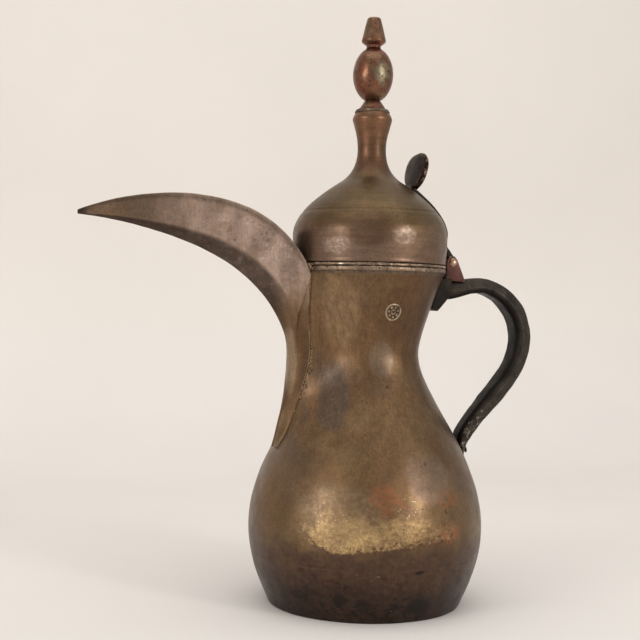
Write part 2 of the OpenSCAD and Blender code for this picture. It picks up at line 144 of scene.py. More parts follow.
def spaced(line, step):
    """The line again with points about step apart."""
    line = np.array(line, float)
    far = np.concatenate([[0], np.cumsum(np.linalg.norm(np.diff(line, axis=0), axis=1))])
    at = np.linspace(0, far[-1], max(2, int(round(far[-1] / step)) + 1))
    return np.stack([np.interp(at, far, line[:, k]) for k in range(line.shape[1])], axis=1)


def arc(centre, radius, start, end, n):
    """Points along an arc from one angle to another, in degrees."""
    a = np.radians(np.linspace(start, end, n))
    return np.stack([centre[0] + radius * np.cos(a), centre[1] + radius * np.sin(a)], axis=1)


def offset(line, by):
    """An open line moved by a distance to its right-hand side, which is outwards on a rising outline."""
    d = unit(np.gradient(line, axis=0))
    return line + by * np.stack([d[:, 1], -d[:, 0]], axis=1)


def by_height(*curves):
    """A function that gives a curve's first value at a height."""
    line = chain(*curves, n=200)
    line = line[np.argsort(line[:, 1])]
    return lambda z: np.interp(z, line[:, 1], line[:, 0])


def denser(values, middle, reach, step):
    """Sorted values, with steps no longer than step within reach of middle."""
    fine = np.arange(middle - reach, middle + reach, step)
    return np.sort(np.concatenate([values[abs(values - middle) > reach + step], fine]))


def rounded(corners, cut, n=3):
    """A closed outline with each corner replaced by a small curve that starts cut from it."""
    corners = np.array(corners, float)
    out = []
    for i, c in enumerate(corners):
        before, after = corners[i - 1] - c, corners[(i + 1) % len(corners)] - c
        a = c + before * min(0.45, cut / np.linalg.norm(before))
        b = c + after * min(0.45, cut / np.linalg.norm(after))
        for t in np.linspace(0, 1, n + 1):
            out.append((1 - t) ** 2 * a + 2 * (1 - t) * t * c + t * t * b)
    return np.array(out)


body_r = by_height(BULB_LOW, BULB_HIGH, NECK_FLARE)
seam_half = by_height(SEAM_HIGH, SEAM_LOW)
flange_out = by_height(FLANGE_HIGH, FLANGE_LOW)


# ---- meshes

class Shape:
    """Vertices and faces in millimetres, which become one mesh."""

    def __init__(self):
        self.verts = np.zeros((0, 3))
        self.faces = []
        self.paints = []
        self.wear = np.zeros(0)
        self.grime_and_shade = np.zeros(0)

    def add(self, points, wear=0.0, grime_and_shade=0.0):
        points = np.asarray(points, float)
        first = len(self.verts)
        flat = points.reshape(-1, 3)
        self.verts = np.vstack([self.verts, flat])
        self.wear = np.concatenate([self.wear, np.broadcast_to(wear, points.shape[:-1]).ravel()])
        self.grime_and_shade = np.concatenate([self.grime_and_shade, np.broadcast_to(grime_and_shade, points.shape[:-1]).ravel()])
        return first + np.arange(len(flat)).reshape(points.shape[:-1])

    def quads(self, index, around=True, along=False, paint=0):
        """Faces over a grid of indices: around joins the last column to the first, along the rows."""
        a = index
        if around:
            a = np.hstack([a, a[:, :1]])
        if along:
            a = np.vstack([a, a[:1]])
        paints = np.broadcast_to(paint, (a.shape[0] - 1, a.shape[1] - 1)).ravel()
        cells = np.stack([a[:-1, :-1], a[:-1, 1:], a[1:, 1:], a[1:, :-1]], axis=-1)
        self.faces += cells.reshape(-1, 4).tolist()
        self.paints += paints.tolist()

    def face(self, ring):
        self.faces.append(list(map(int, ring)))
        self.paints.append(0)


def turned(outline, angles=SIDES, around=None):
    """Points of an outline of (radius, height) turned about Z."""
    if around is None:
        around = circle(angles)
    outline = np.asarray(outline, float)
    return polar(outline[:, :1], around, outline[:, 1:2])


def turned_shape(outline, angles=SIDES, closed=False, wear=0.0, grime_and_shade=0.0):
    """A turned solid. An open outline starts and ends on the axis."""
    shape = Shape()
    index = shape.add(turned(outline, angles), wear, grime_and_shade)
    shape.quads(index, along=closed)
    return shape


def uneven(points, normals, layers):
    """How far each point is pushed out by soft noise: layers of (amount, size)."""
    out = np.zeros(len(points))
    for k, (amount, size) in enumerate(layers):
        at = points / size + 17.3 * (k + 1)
        out += amount * np.array([noise.noise(p) for p in at])
    return points + normals * out[:, None]


def finish_mesh(mesh, layers, sharp):
    bm = bmesh.new()
    bm.from_mesh(mesh)
    bmesh.ops.remove_doubles(bm, verts=bm.verts, dist=1e-7)
    bmesh.ops.recalc_face_normals(bm, faces=bm.faces)
    bm.normal_update()
    if layers:
        points = np.array([v.co for v in bm.verts]) / MM
        normals = np.array([v.normal for v in bm.verts])
        for v, p in zip(bm.verts, uneven(points, normals, layers)):
            v.co = np.clip(p * MM, low_corner, high_corner)
    bm.to_mesh(mesh)
    bm.free()
    mesh.shade_smooth()
    mesh.set_sharp_from_angle(angle=math.radians(sharp))


def new_mesh(name, shape):
    mesh = bpy.data.meshes.new(name)
    mesh.from_pydata((shape.verts * MM).tolist(), [], shape.faces)
    return mesh


def new_object(name, data):
    obj = bpy.data.objects.new(name, data)
    bpy.context.scene.collection.objects.link(obj)
    return obj


def piece(name, shape, materials, body, stands_for, layers, sharp=SHARP):
    """Makes an object of a shape, with its materials, and puts it on its body."""
    mesh = new_mesh(name, shape)
    mesh.polygons.foreach_set("material_index", np.array(shape.paints, np.int32))
    for mark, values in (("wear", shape.wear), ("grime_and_shade", shape.grime_and_shade)):
        layer = mesh.attributes.new(mark, "FLOAT", "POINT")
        layer.data.foreach_set("value", values.astype(np.float32))
    finish_mesh(mesh, layers, sharp)
    for material in materials:
        mesh.materials.append(material)
    obj = new_object(name, mesh)
    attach(obj, body)
    if stands_for:
        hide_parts(*stands_for)
    return obj


def cut(obj, shape):
    """Takes a closed shape away from a piece, and keeps the result as its mesh."""
    tool = new_object("cutter", new_mesh("cutter", shape))
    finish_mesh(tool.data, (), 30)
    change = obj.modifiers.new("cut", "BOOLEAN")
    change.operation = "DIFFERENCE"
    change.solver = "EXACT"
    change.object = tool
    ready = obj.evaluated_get(bpy.context.evaluated_depsgraph_get())
    mesh = bpy.data.meshes.new_from_object(ready)
    obj.modifiers.clear()
    old = obj.data
    obj.data = mesh
    mesh.name = old.name
    bpy.data.meshes.remove(old)
    bpy.data.objects.remove(tool)
    mesh.shade_smooth()
    mesh.set_sharp_from_angle(angle=math.radians(SHARP))


def tube(rings, wear=0.0, grime_and_shade=0.0):
    """A closed skin over rings of points."""
    shape = Shape()
    index = shape.add(rings, wear, grime_and_shade)
    shape.quads(index)
    shape.face(index[0])
    shape.face(index[-1][::-1])
    return shape


def plate(outline, half, edge):
    """A flat piece drawn in the XZ plane, half to each side of it, with rounded edges."""
    outline = np.array(outline, float)
    after = np.roll(outline, -1, axis=0)
    d = unit(after - np.roll(outline, 1, axis=0))
    inward = np.stack([-d[:, 1], d[:, 0]], axis=1)
    area = np.sum(outline[:, 0] * after[:, 1] - outline[:, 1] * after[:, 0])
    if area < 0:
        inward = -inward
    rows = []
    for side in (-1, 1):
        for a in np.linspace(0, 90, 5)[::-side]:
            rows.append((side, math.radians(a)))
    rings, worn = [], []
    for side, a in rows:
        inset = edge * (1 - math.sin(a))
        y = side * (half - edge * (1 - math.cos(a)))
        rings.append(upright(outline + inward * inset, y))
        worn.append(math.sin(2 * a))
    return tube(np.array(rings), np.array(worn)[:, None])


def drilled(at, radius, half):
    """A cylinder along Y, to cut a bore with."""
    ring = arc(at, radius, 0, 360, 49)[:-1]
    return tube(np.array([upright(ring, -half), upright(ring, half)]))


def placed(shape, at, direction):
    """A turned shape moved to (x, z) in the XZ plane, with its +Z turned along direction."""
    d = unit(np.array(direction, float))
    x, y, z = shape.verts.T
    shape.verts = np.stack([at[0] + x * d[1] + z * d[0], y, at[1] - x * d[0] + z * d[1]], axis=1)
    return shape


def joined(*shapes):
    out = Shape()
    for s in shapes:
        first = len(out.verts)
        out.verts = np.vstack([out.verts, s.verts])
        out.wear = np.concatenate([out.wear, s.wear])
        out.grime_and_shade = np.concatenate([out.grime_and_shade, s.grime_and_shade])
        out.faces += [[first + i for i in face] for face in s.faces]
        out.paints += s.paints
    return out


# ---- materials

class Paint:
    """A material made of shader nodes, with its colour built up in layers. Sizes are millimetres."""

    def __init__(self, name):
        self.material = bpy.data.materials.new(name)
        self.material.use_nodes = True
        self.tree = self.material.node_tree
        self.tree.nodes.clear()
        self.place = self.node("TexCoord").outputs["Object"]
        self.x, self.y, self.z = self.node("SeparateXYZ", {"Vector": self.place}).outputs
        self.worn = self.node("Attribute", attribute_name="wear").outputs["Fac"]
        self.colour = None
        self.shade_and_grime = self.node("Attribute", attribute_name="grime_and_shade").outputs["Fac"]

    def node(self, kind, inputs=(), **settings):
        made = self.tree.nodes.new("ShaderNode" + kind)
        for key, value in settings.items():
            setattr(made, key, value)
        for key, value in dict(inputs).items():
            if isinstance(value, bpy.types.NodeSocket):
                self.tree.links.new(value, made.inputs[key])
            else:
                made.inputs[key].default_value = value
        return made

    def at(self, squeeze=(1, 1, 1), shift=0.0):
        return self.node("Mapping", {
            "Vector": self.place, "Scale": squeeze, "Location": (shift, 1.7 * shift, 2.3 * shift),
        }).outputs["Vector"]

    def cloud(self, size, detail=4.0, rough=0.55, squeeze=(1, 1, 1), shift=0.0):
        """Soft noise around 0.5, with patches about size across."""
        return self.node("TexNoise", {
            "Vector": self.at(squeeze, shift), "Scale": 1 / (size * MM), "Detail": detail, "Roughness": rough,
        }).outputs["Fac"]

    def calc(self, operation, a, b=0.0, clamp=False):
        return self.node("Math", {0: a, 1: b}, operation=operation, use_clamp=clamp).outputs[0]

    def times(self, a, b, clamp=False):
        return self.calc("MULTIPLY", a, b, clamp)

    def plus(self, a, b):
        return self.calc("ADD", a, b)

    def less(self, a, b):
        return self.calc("SUBTRACT", a, b)

    def most(self, first, *others):
        for other in others:
            first = self.calc("MAXIMUM", first, other)
        return first

    def sway(self, cloud, amount):
        """A cloud turned to values around 0, as far as half of amount to each side."""
        return self.times(self.less(cloud, 0.5), amount)

    def band(self, value, low, high, to_low=0.0, to_high=1.0):
        """value turned smoothly from to_low at low to to_high at high."""
        if low > high:
            low, high, to_low, to_high = high, low, to_high, to_low
        return self.node("MapRange", {
            "Value": value, "From Min": low, "From Max": high, "To Min": to_low, "To Max": to_high,
        }, interpolation_type="SMOOTHSTEP").outputs["Result"]

    def blend(self, share, a, b):
        def colour(c):
            return (*c, 1.0) if isinstance(c, tuple) else c
        return self.node("Mix", {0: share, 6: colour(a), 7: colour(b)}, data_type="RGBA").outputs[2]

    def cover(self, share, tint):
        """Turns the colour made so far towards a tint."""
        self.colour = self.blend(share, self.colour, tint)

    def stain(self, amount, patch, tint, clamp=False):
        """Turns it towards a tint, by amount where the patch is 1."""
        self.cover(self.times(patch, amount, clamp), tint)

    def shade(self, by):
        self.colour = self.scaled(self.colour, by)

    def scaled(self, colour, by):
        return self.node("VectorMath", {0: colour, "Scale": by}, operation="SCALE").outputs[0]

    def spots(self, size, reach, share, shift=0.0, bend=0.35):
        """Round-edged spots up to reach of a cell across, in that share of the cells."""
        made = self.node("TexVoronoi", {"Vector": self.at(shift=shift), "Scale": 1 / (size * MM)})
        own = self.node("SeparateColor", {"Color": made.outputs["Color"]}).outputs["Red"]
        near = self.plus(made.outputs["Distance"], self.sway(self.cloud(size * 0.3, 3), bend))
        return self.times(self.band(near, reach, reach * 0.45), self.band(own, 1 - share, 1 - share + 0.05))

    def blob(self, centre, radii, ragged, size):
        """A patch around a place: 1 in its middle, and 0 outside its radii."""
        far = self.sway(self.cloud(size, 6, 0.65), ragged * 4)
        for value, c, r in zip((self.x, self.y, self.z), centre, radii):
            d = self.calc("DIVIDE", self.less(value, c * MM), r * MM)
            far = self.plus(far, self.times(d, d))
        return self.band(far, 1.0, 0.35)

    def bumps(self, *layers):
        """Normals from (height, strength, distance in millimetres), laid over each other."""
        normal = None
        for height, strength, deep in layers:
            inputs = {"Height": height, "Strength": strength, "Distance": deep * MM}
            if normal is not None:
                inputs["Normal"] = normal
            normal = self.node("Bump", inputs).outputs["Normal"]
        return normal

    def close(self, metallic, rough, normal, coat=0.0):
        shader = self.node("BsdfPrincipled", {
            "Base Color": self.colour, "Metallic": metallic, "Roughness": rough, "Normal": normal,
            "Coat Weight": coat, "Coat Roughness": 0.28,
        })
        out = self.node("OutputMaterial")
        self.tree.links.new(shader.outputs[0], out.inputs["Surface"])
        return self.material


# Linear colours. Paint's own sizes are millimetres, and its x, y and z are metres.
BROWN = (0.148, 0.083, 0.039)
UMBER = (0.112, 0.058, 0.026)
OLIVE = (0.160, 0.103, 0.049)
SLATE = (0.122, 0.083, 0.059)
TAN = (0.262, 0.168, 0.088)
PINKISH = (0.400, 0.290, 0.235)
MULBERRY = (0.074, 0.042, 0.029)
NIGHT = (0.036, 0.021, 0.014)
GOLD = (0.56, 0.380, 0.175)
GLINT = (0.72, 0.60, 0.42)
ORANGE = (0.30, 0.110, 0.045)
SOOT = (0.016, 0.011, 0.009)
UPRIGHT = (1, 1, 0.045)
LEVEL = (0.05, 0.05, 1)


def brass_ground(p, tints, streaks, turned_marks):
    """Soft patches of four tints, with fine mottling and brush streaks up and down, or around."""
    first, second, third, fourth = tints
    p.colour = p.blend(p.band(p.cloud(44, 3, shift=0.3), 0.36, 0.68, 0.0, 0.8), first, second)
    p.cover(p.band(p.cloud(30, 4, 0.6, shift=0.7), 0.44, 0.74, 0.0, 0.8), third)
    p.cover(p.band(p.cloud(34, 4, 0.5, shift=1.3), 0.48, 0.74, 0.0, 0.8), fourth)
    grain = p.cloud(1.2, 4, 0.7)
    tone = p.band(p.cloud(26, 3), 0.3, 0.7, 0.93, 1.07)
    tone = p.times(tone, p.band(p.cloud(5, 6, 0.7), 0.3, 0.7, 0.88, 1.12))
    tone = p.times(tone, p.band(grain, 0.25, 0.75, 0.84, 1.16))
    line = p.cloud(1.3, 5, 0.65, LEVEL if turned_marks else UPRIGHT)
    broad = p.cloud(6, 4, 0.6, (0.2, 0.2, 1) if turned_marks else (1, 1, 0.09))
    amount = p.band(p.z, 0.060, 0.105, 0.25 * streaks, streaks)
    lines = p.sway(p.plus(p.times(line, 0.55), p.times(broad, 0.45)), amount)
    tone = p.times(tone, p.plus(1.0, p.times(lines, 2.6)))
    return tone, lines, grain


def lid_tints(p):
    """A greenish upper dome, a rosier skirt with two painted highlights where the window lights reflect, and
    a russet neck.
    """
    level = p.plus(p.sway(p.cloud(13, 5, 0.65, shift=3.3), 0.030), p.z)
    p.cover(p.band(level, 0.212, 0.221, 0.0, 0.75), (0.096, 0.060, 0.023))
    p.cover(p.band(level, 0.214, 0.204, 0.0, 0.55), (0.190, 0.122, 0.088))
    # Painted highlights: two mottled pinkish-white patches on the dome where the left and right windows
    # reflect.
    rubbed_and_highlight = p.most(p.blob((5, -42, 206), (8, 9, 6), 0.5, 5), p.blob((-30, -31, 200), (11, 9, 6), 0.5, 5))
    rubbed_and_highlight = p.times(rubbed_and_highlight, p.band(p.cloud(1.9, 6, 0.7, shift=7.1), 0.40, 0.60, 0.2, 1.0))
    p.stain(0.62, rubbed_and_highlight, (0.340, 0.255, 0.205))
    high = p.times(p.band(p.z, 0.236, 0.250), p.band(p.cloud(9, 4, 0.6, shift=4.4), 0.35, 0.6, 0.45, 0.95))
    neck = p.blend(p.band(p.z, 0.255, 0.268), (0.126, 0.058, 0.032), (0.185, 0.088, 0.048))
    p.cover(high, neck)
    p.stain(0.6, p.blob((-13, -40, 209), (15, 14, 13), 0.25, 7), (0.078, 0.040, 0.020))


def beak_tints(p):
    """The beak is paler and pinker than the rest, most of all near the rim, partly a pink tint and partly a
    painted reflection of the left window, and pitted and scraped.
    """
    # Pale pink upper panel, brighter towards the rear: a pink tint with a painted reflection of the left
    # window laid in.
    pale = p.times(p.band(p.z, 0.160, 0.186), p.band(p.cloud(13, 6, 0.65, shift=6), 0.30, 0.60, 0.50, 1.0))
    pale = p.times(pale, p.band(p.x, -0.150, -0.075, 0.55, 1.0))
    front = p.blend(p.band(p.x, -0.085, -0.140), PINKISH, (0.160, 0.109, 0.084))
    p.cover(pale, front)
    scratch = p.band(p.cloud(2.6, 6, 0.7, (0.10, 1, 1), 3.9), 0.58, 0.70)
    p.stain(0.35, p.times(scratch, pale), (0.52, 0.42, 0.35))
    p.cover(p.band(p.x, -0.157, -0.1625), (0.040, 0.026, 0.019))
    low = p.times(p.band(p.z, 0.166, 0.148), p.band(p.z, 0.096, 0.120))
    p.stain(0.55, low, (0.104, 0.054, 0.026))
    pits = p.times(p.blob((-73, -12, 205), (15, 30, 9), 0.4, 7), p.spots(3.6, 0.30, 0.55, 8.8, 1.1))
    p.stain(0.65, pits, (0.056, 0.031, 0.023))
    scraped = p.band(p.cloud(1.6, 6, 0.75, shift=6.6), 0.56, 0.63)
    scraped = p.times(p.blob((-58, -14, 196), (17, 30, 8), 0.5, 6), scraped)
    p.stain(0.7, scraped, (0.62, 0.52, 0.44))
    p.stain(0.75, p.blob((-46.5, -3, 138), (4.5, 8, 25), 0.2, 6), (0.290, 0.205, 0.125))
    p.shade(p.band(p.z, 0.092, 0.114, 0.74, 1.0))
    p.shade(p.band(p.cloud(11, 3, 0.5, (1, 1, 0.35), 2.2), 0.38, 0.62, 0.86, 1.12))


def neck_tints(p):
    """A pale streaked band left of the neck's middle that is partly a painted reflection of the left window,
    painted shade on the side right of it, a grey stain below, a painted sheen on the bulb's right and a
    painted highlight on the waist.
    """
    streak = p.band(p.cloud(2.2, 5, 0.7, (1, 1, 0.05), 2.9), 0.36, 0.62, 0.35, 1.0)
    # Pale streaks along the neck, with a painted reflection of the left window in the same band.
    p.stain(0.80, p.times(p.blob((-25, -25, 165), (13, 14, 30), 0.12, 9), streak), TAN)
    # Painted shade: the neck's right side darkened, as if it reflected a darker right side of the room.
    p.stain(0.80, p.blob((17, -28, 168), (24, 24, 42), 0.15, 14), (0.100, 0.052, 0.024))
    p.stain(0.55, p.blob((-29, -27, 119), (11, 16, 31), 0.35, 10), (0.090, 0.071, 0.058))
    # Painted sheen: a pale pinkish patch where the right window reflects on the bulb.
    p.stain(0.45, p.blob((17, -57, 77), (17, 16, 17), 0.3, 9), (0.215, 0.150, 0.115))
    # Painted highlight on the waist.
    p.stain(0.6, p.blob((-2, -29, 138), (8, 11, 12), 0.3, 5), (0.20, 0.145, 0.10))


def low_dark(p):
    """Below the belly the metal is stained dark, and black in blotches near the table."""
    level = p.plus(p.z, p.sway(p.cloud(16, 6, 0.62, shift=8), 0.030))
    fine = p.band(p.cloud(3.0, 6, 0.72), 0.3, 0.7, 0.74, 1.26)
    stain = p.blend(p.band(p.cloud(11, 6, 0.7, shift=9), 0.38, 0.66), MULBERRY, (0.088, 0.050, 0.028))
    p.stain(0.95, p.band(level, 0.048, 0.034), p.scaled(stain, fine))
    foot = p.blend(p.band(p.cloud(20, 4, shift=9.5), 0.4, 0.6), NIGHT, (0.048, 0.029, 0.020))
    p.stain(0.9, p.band(level, 0.032, 0.010), p.scaled(foot, fine))
    rusty = p.times(p.band(p.cloud(5, 6, 0.66, shift=11), 0.55, 0.63), p.band(level, 0.040, 0.026))
    p.stain(0.7, rusty, (0.058, 0.020, 0.014))
    burnt = p.band(p.cloud(8, 6, 0.66, (1, 1, 1.5), 10), 0.50, 0.60)
    burnt = p.most(p.times(burnt, p.band(level, 0.028, 0.008)), p.blob((11, -57, 9), (10, 11, 6), 0.6, 5),
                   p.blob((9, -62, 28.5), (4, 6, 1.3), 0.3, 3))
    p.stain(0.85, burnt, SOOT)


GOLD_LINE = 0.0395


def worn_gold(p, rough):
    """Bare golden metal where the belly is rubbed, ragged below, and orange lacquer beside it, under a
    painted hazy sheen and sparkling painted highlights.
    """
    ragged = p.cloud(2.2, 7, 0.75)
    brushed = p.cloud(2.4, 6, 0.72, (0.45, 0.45, 1), 1.2)
    speckle = p.plus(p.times(ragged, 0.55), p.times(brushed, 0.45))
    left = p.times(p.less(-0.036, p.x), 0.48)
    right = p.times(p.plus(p.x, 0.033), 0.105)
    floor = p.plus(p.less(p.z, p.most(left, right)), p.sway(ragged, 0.005))

    haze = p.blob((-33, -53, 56), (30, 24, 22), 0.20, 14)
    core = p.blob((-31, -56, 44), (25, 20, 21), 0.50, 7)
    tail = p.blob((-2, -64, 46), (42, 20, 14), 0.40, 8)
    veil = p.blob((-14, -62, 53), (26, 20, 17), 0.40, 9)
    share = p.plus(p.times(core, 0.40), p.times(tail, 0.26))
    share = p.plus(share, p.times(p.most(haze, veil), 0.15))
    patch = p.band(p.plus(p.times(speckle, 1.9), share), 0.98, 1.66)
    patch = p.times(patch, p.band(share, 0.0, 0.30))
    fade = p.band(p.plus(floor, p.sway(brushed, 0.022)), 0.066, 0.044, 0.10, 1.0)
    patch = p.times(patch, p.times(p.band(floor, GOLD_LINE - 0.0015, GOLD_LINE + 0.0001), fade))

    # Painted reflection: a grey-tan speckled haze above the gold where the left window reflects.
    haze_sheen = p.times(haze, p.band(speckle, 0.40, 0.62, 0.15, 1.0))
    p.stain(0.60, haze_sheen, (0.250, 0.180, 0.115))
    orange = p.times(p.blob((-9, -62, 66), (11, 14, 9), 1.2, 5), p.band(brushed, 0.36, 0.60, 0.25, 1.0))
    flecks = p.most(p.blob((28, -60, 48), (9, 12, 6), 0.4, 6), p.blob((28, -59, 65), (9, 12, 6), 0.4, 6))
    flecks = p.times(flecks, p.band(p.cloud(2.4, 6, 0.75, shift=1.9), 0.46, 0.56))
    p.cover(p.most(p.times(orange, 0.55), p.times(flecks, 0.80)), ORANGE)
    gold = p.blend(p.band(p.cloud(7, 5, shift=3), 0.35, 0.72, 0.0, 0.8), GOLD, TAN)
    gold = p.scaled(gold, p.band(p.cloud(1.4, 5, 0.7), 0.28, 0.72, 0.66, 1.30))
    p.stain(0.92, patch, gold)

    rust = p.band(p.calc("ABSOLUTE", p.less(floor, GOLD_LINE)), 0.0036, 0.001)
    rust = p.times(rust, p.band(p.cloud(1.7, 5, 0.7, shift=8.1), 0.52, 0.58))
    p.stain(0.8, p.times(rust, p.most(core, tail)), (0.060, 0.022, 0.012))
    # Painted highlights: white sparkles on the belly, mostly where the windows reflect.
    glitter = p.most(p.blob((-38, -50, 58), (14, 15, 14), 0.3, 7), p.blob((2, -63, 62), (9, 10, 8), 0.3, 6),
                     p.blob((-19, -60, 27), (9, 9, 3), 0.3, 5), p.blob((-44, -46, 47), (13, 15, 8), 0.4, 6))
    glitter = p.times(glitter, p.spots(0.95, 0.36, 0.16, 6.3, 0.6))
    p.stain(0.60, glitter, GLINT)
    return p.less(rough, p.times(patch, 0.06))


# Each kind of brass piece has its own tints.
TINTED = {"body": neck_tints, "lid": lid_tints, "beak": beak_tints}


def aged_brass(name, kind, tints=(BROWN, OLIVE, UMBER, SLATE), streaks=0.5, spotty=0.4):
    """Old brass, with dark spots in places, small bright nicks, darkened places, and rubbed edges."""
    p = Paint(name)
    tone, lines, grain = brass_ground(p, tints, streaks, kind == "lid")
    TINTED[kind](p)
    p.shade(tone)
    rough = p.band(p.cloud(9, 5, 0.6, shift=1.1), 0.3, 0.7, 0.36, 0.50)
    if kind == "body":
        low_dark(p)
        rough = worn_gold(p, rough)
    dark = p.most(p.spots(5, 0.24, 0.22 * spotty, 3.1, 1.0), p.spots(1.9, 0.30, 0.5 * spotty, 4.2, 0.9))
    dark = p.times(dark, p.band(p.cloud(20, 4, shift=7.7), 0.50, 0.60))
    p.stain(0.62, dark, (0.024, 0.015, 0.011))
    p.stain(0.6, p.spots(1.7, 0.17, 0.03, 5.5, 0.5), GLINT)
    # Darker where the attribute is set: round the stamp, and on the spout's lower facet and below its rim.
    darkened = p.times(p.shade_and_grime, p.band(p.cloud(5, 5, 0.7, shift=4), 0.25, 0.55, 0.7, 1.0))
    dark_mix = p.band(p.cloud(8, 5, 0.7, shift=4.8), 0.4, 0.62)
    p.stain(0.92, darkened, p.blend(dark_mix, (0.022, 0.012, 0.008), (0.036, 0.019, 0.011)))
    edge = p.times(p.worn, p.band(p.cloud(4, 6, 0.75, shift=2.0), 0.34, 0.60))
    p.stain(0.75, edge, (0.46, 0.37, 0.26), True)
    rough = p.plus(p.plus(rough, p.times(dark, 0.18)), p.times(darkened, 0.12))
    normal = p.bumps((p.cloud(8, 3), 0.30, 0.20), (lines, 0.8, 0.25), (grain, 0.25, 0.06), (dark, 0.4, -0.10))
    return p.close(0.86, rough, normal, 0.14)


def plain_metal(name, first, second, worn, metal, rough, pits, patina=None, size=9.0, edges=(0.50, 0.62)):
    """Small fittings: two tones, pits, and edges worn to another colour."""
    p = Paint(name)
    p.colour = p.blend(p.band(p.cloud(size, 5, 0.6), 0.38, 0.66), first, second)
    grain = p.cloud(1.1, 5, 0.7)
    pitted = p.spots(2.2, 0.33, 0.4 * pits, 0.9)
    tone = p.times(p.band(grain, 0.25, 0.75, 0.75, 1.25), p.band(p.cloud(4, 4), 0.3, 0.7, 0.82, 1.18))
    p.shade(tone)
    if patina:
        tint, centre, radii = patina
        grown = p.band(p.cloud(3, 6, 0.7, shift=5.0), 0.36, 0.56, 0.2, 1.0)
        grown = p.times(p.blob(centre, radii, 0.45, 5), grown)
        p.stain(0.85, grown, tint)
        eaten = p.times(grown, p.band(p.cloud(2.2, 5, 0.7, shift=6.0), 0.55, 0.60))
        p.stain(0.8, eaten, SOOT)
    edge = p.times(p.worn, p.band(p.cloud(3.0, 6, 0.75, shift=2.0), *edges))
    p.stain(0.85, edge, worn, True)
    p.stain(0.7, pitted, SOOT)
    # Darker where the attribute is set: the solder run-ins and the rim ring's groove, with painted shade
    # along the ring's lower edge.
    p.stain(0.88, p.shade_and_grime, (0.022, 0.016, 0.012), True)
    shine = p.band(p.cloud(7, 5, 0.6, shift=3.0), 0.3, 0.7, rough - 0.08, rough + 0.10)
    shine = p.less(shine, p.times(edge, 0.10))
    normal = p.bumps((p.cloud(3.2, 4), 0.35, 0.16), (grain, 0.35, 0.08), (pitted, 0.5, -0.12))
    return p.close(metal, shine, normal, 0.05)


def forged_iron(name):
    """Blackened iron, rubbed along its ridges, with bright chips mostly near the foot of the handle, and
    painted shade on the handle's inner side.
    """
    p = Paint(name)
    grain = p.cloud(1.3, 5, 0.7)
    p.colour = p.blend(p.band(p.cloud(14, 5, 0.6), 0.38, 0.66), (0.017, 0.014, 0.012), (0.033, 0.027, 0.022))
    p.shade(p.band(grain, 0.25, 0.75, 0.7, 1.3))
    rubbed_and_highlight = p.times(p.worn, p.band(p.cloud(6, 6, 0.65, shift=1.2), 0.34, 0.62, 0.25, 1.0))
    p.stain(0.50, rubbed_and_highlight, (0.092, 0.077, 0.062), True)
    low = p.band(p.z, 0.122, 0.096, 0.0, 0.09)
    chip = p.band(p.plus(p.cloud(2.6, 6, 0.75, shift=2.0), low), 0.64, 0.68)
    chip = p.times(chip, p.band(p.worn, 0.35, 0.75))
    p.stain(0.8, chip, (0.34, 0.29, 0.24))
    # Painted shade: near black where the attribute is set, which is the handle's inner side facing the body.
    p.stain(0.85, p.shade_and_grime, (0.012, 0.010, 0.009), True)
    shine = p.band(p.cloud(8, 5, 0.6, shift=3.0), 0.3, 0.7, 0.44, 0.60)
    normal = p.bumps((p.cloud(4, 4), 0.40, 0.25), (grain, 0.35, 0.10), (chip, 0.4, -0.08))
    return p.close(0.92, shine, normal)


LID_TINTS = ((0.118, 0.064, 0.030), (0.124, 0.079, 0.036), UMBER, (0.098, 0.062, 0.041))
VERDIGRIS = ((0.190, 0.178, 0.118), (2, -11, 298), (6, 8, 8))
BODY_BRASS = aged_brass("body_brass", "body", streaks=0.55, spotty=0.3)
LID_BRASS = aged_brass("lid_brass", "lid", LID_TINTS, streaks=0.45, spotty=0.15)
SPOUT_BRASS = aged_brass("spout_brass", "beak", streaks=0.35, spotty=0.5)
SOLDER = plain_metal("soldered_brass", (0.270, 0.188, 0.128), (0.125, 0.085, 0.058), (0.70, 0.60, 0.48),
                     0.9, 0.42, 1.3, size=4.0, edges=(0.52, 0.62))
BRAZE = plain_metal("brazed_seam", (0.210, 0.142, 0.082), (0.108, 0.066, 0.036), (0.50, 0.39, 0.25),
                    0.9, 0.42, 0.5, size=3.0, edges=(0.48, 0.60))
TINNED = plain_metal("tinned_inside", (0.14, 0.12, 0.10), (0.070, 0.055, 0.045), (0.3, 0.28, 0.25),
                     0.75, 0.5, 0.9, size=16.0)
COPPER = plain_metal("finial_copper", (0.162, 0.059, 0.034), (0.160, 0.096, 0.056), (0.36, 0.24, 0.16),
                     0.88, 0.34, 0.9, patina=VERDIGRIS, size=9.0, edges=(0.54, 0.66))
RED_COPPER = plain_metal("rivet_copper", (0.090, 0.034, 0.027), (0.032, 0.021, 0.018), (0.36, 0.25, 0.19),
                         0.85, 0.42, 0.6, size=4.0, edges=(0.50, 0.64))
PIN_COPPER = plain_metal("pin_copper", (0.42, 0.27, 0.18), (0.26, 0.16, 0.11), (0.70, 0.50, 0.36),
                         0.9, 0.35, 0.4)
IRON = forged_iron("forged_iron")
LEAF_METAL = plain_metal("leaf_metal", (0.019, 0.007, 0.005), (0.012, 0.006, 0.004), (0.24, 0.16, 0.11),
                         0.92, 0.42, 0.3, edges=(0.46, 0.60))


# ---- body

STAMP_X = 2.6
STAMP_Z = 164.1
STAMP_R = 4.3
DENTS = [(0.32, 34), (0.16, 13), (0.04, 5)]
COLUMNS = 216


def flanged_r(z, phi):
    """Radius of the body at height z and angle phi from the spout, with its flange there."""
    out = flange_out(z)
    round_r = body_r(z)
    seam = np.arcsin(np.clip(seam_half(z) / (round_r + out), 0, 1))
    reach = np.clip((np.abs(phi) - seam) / (math.radians(45) - seam), 0, 1)
    return round_r + out * (1 - reach) ** 2.2


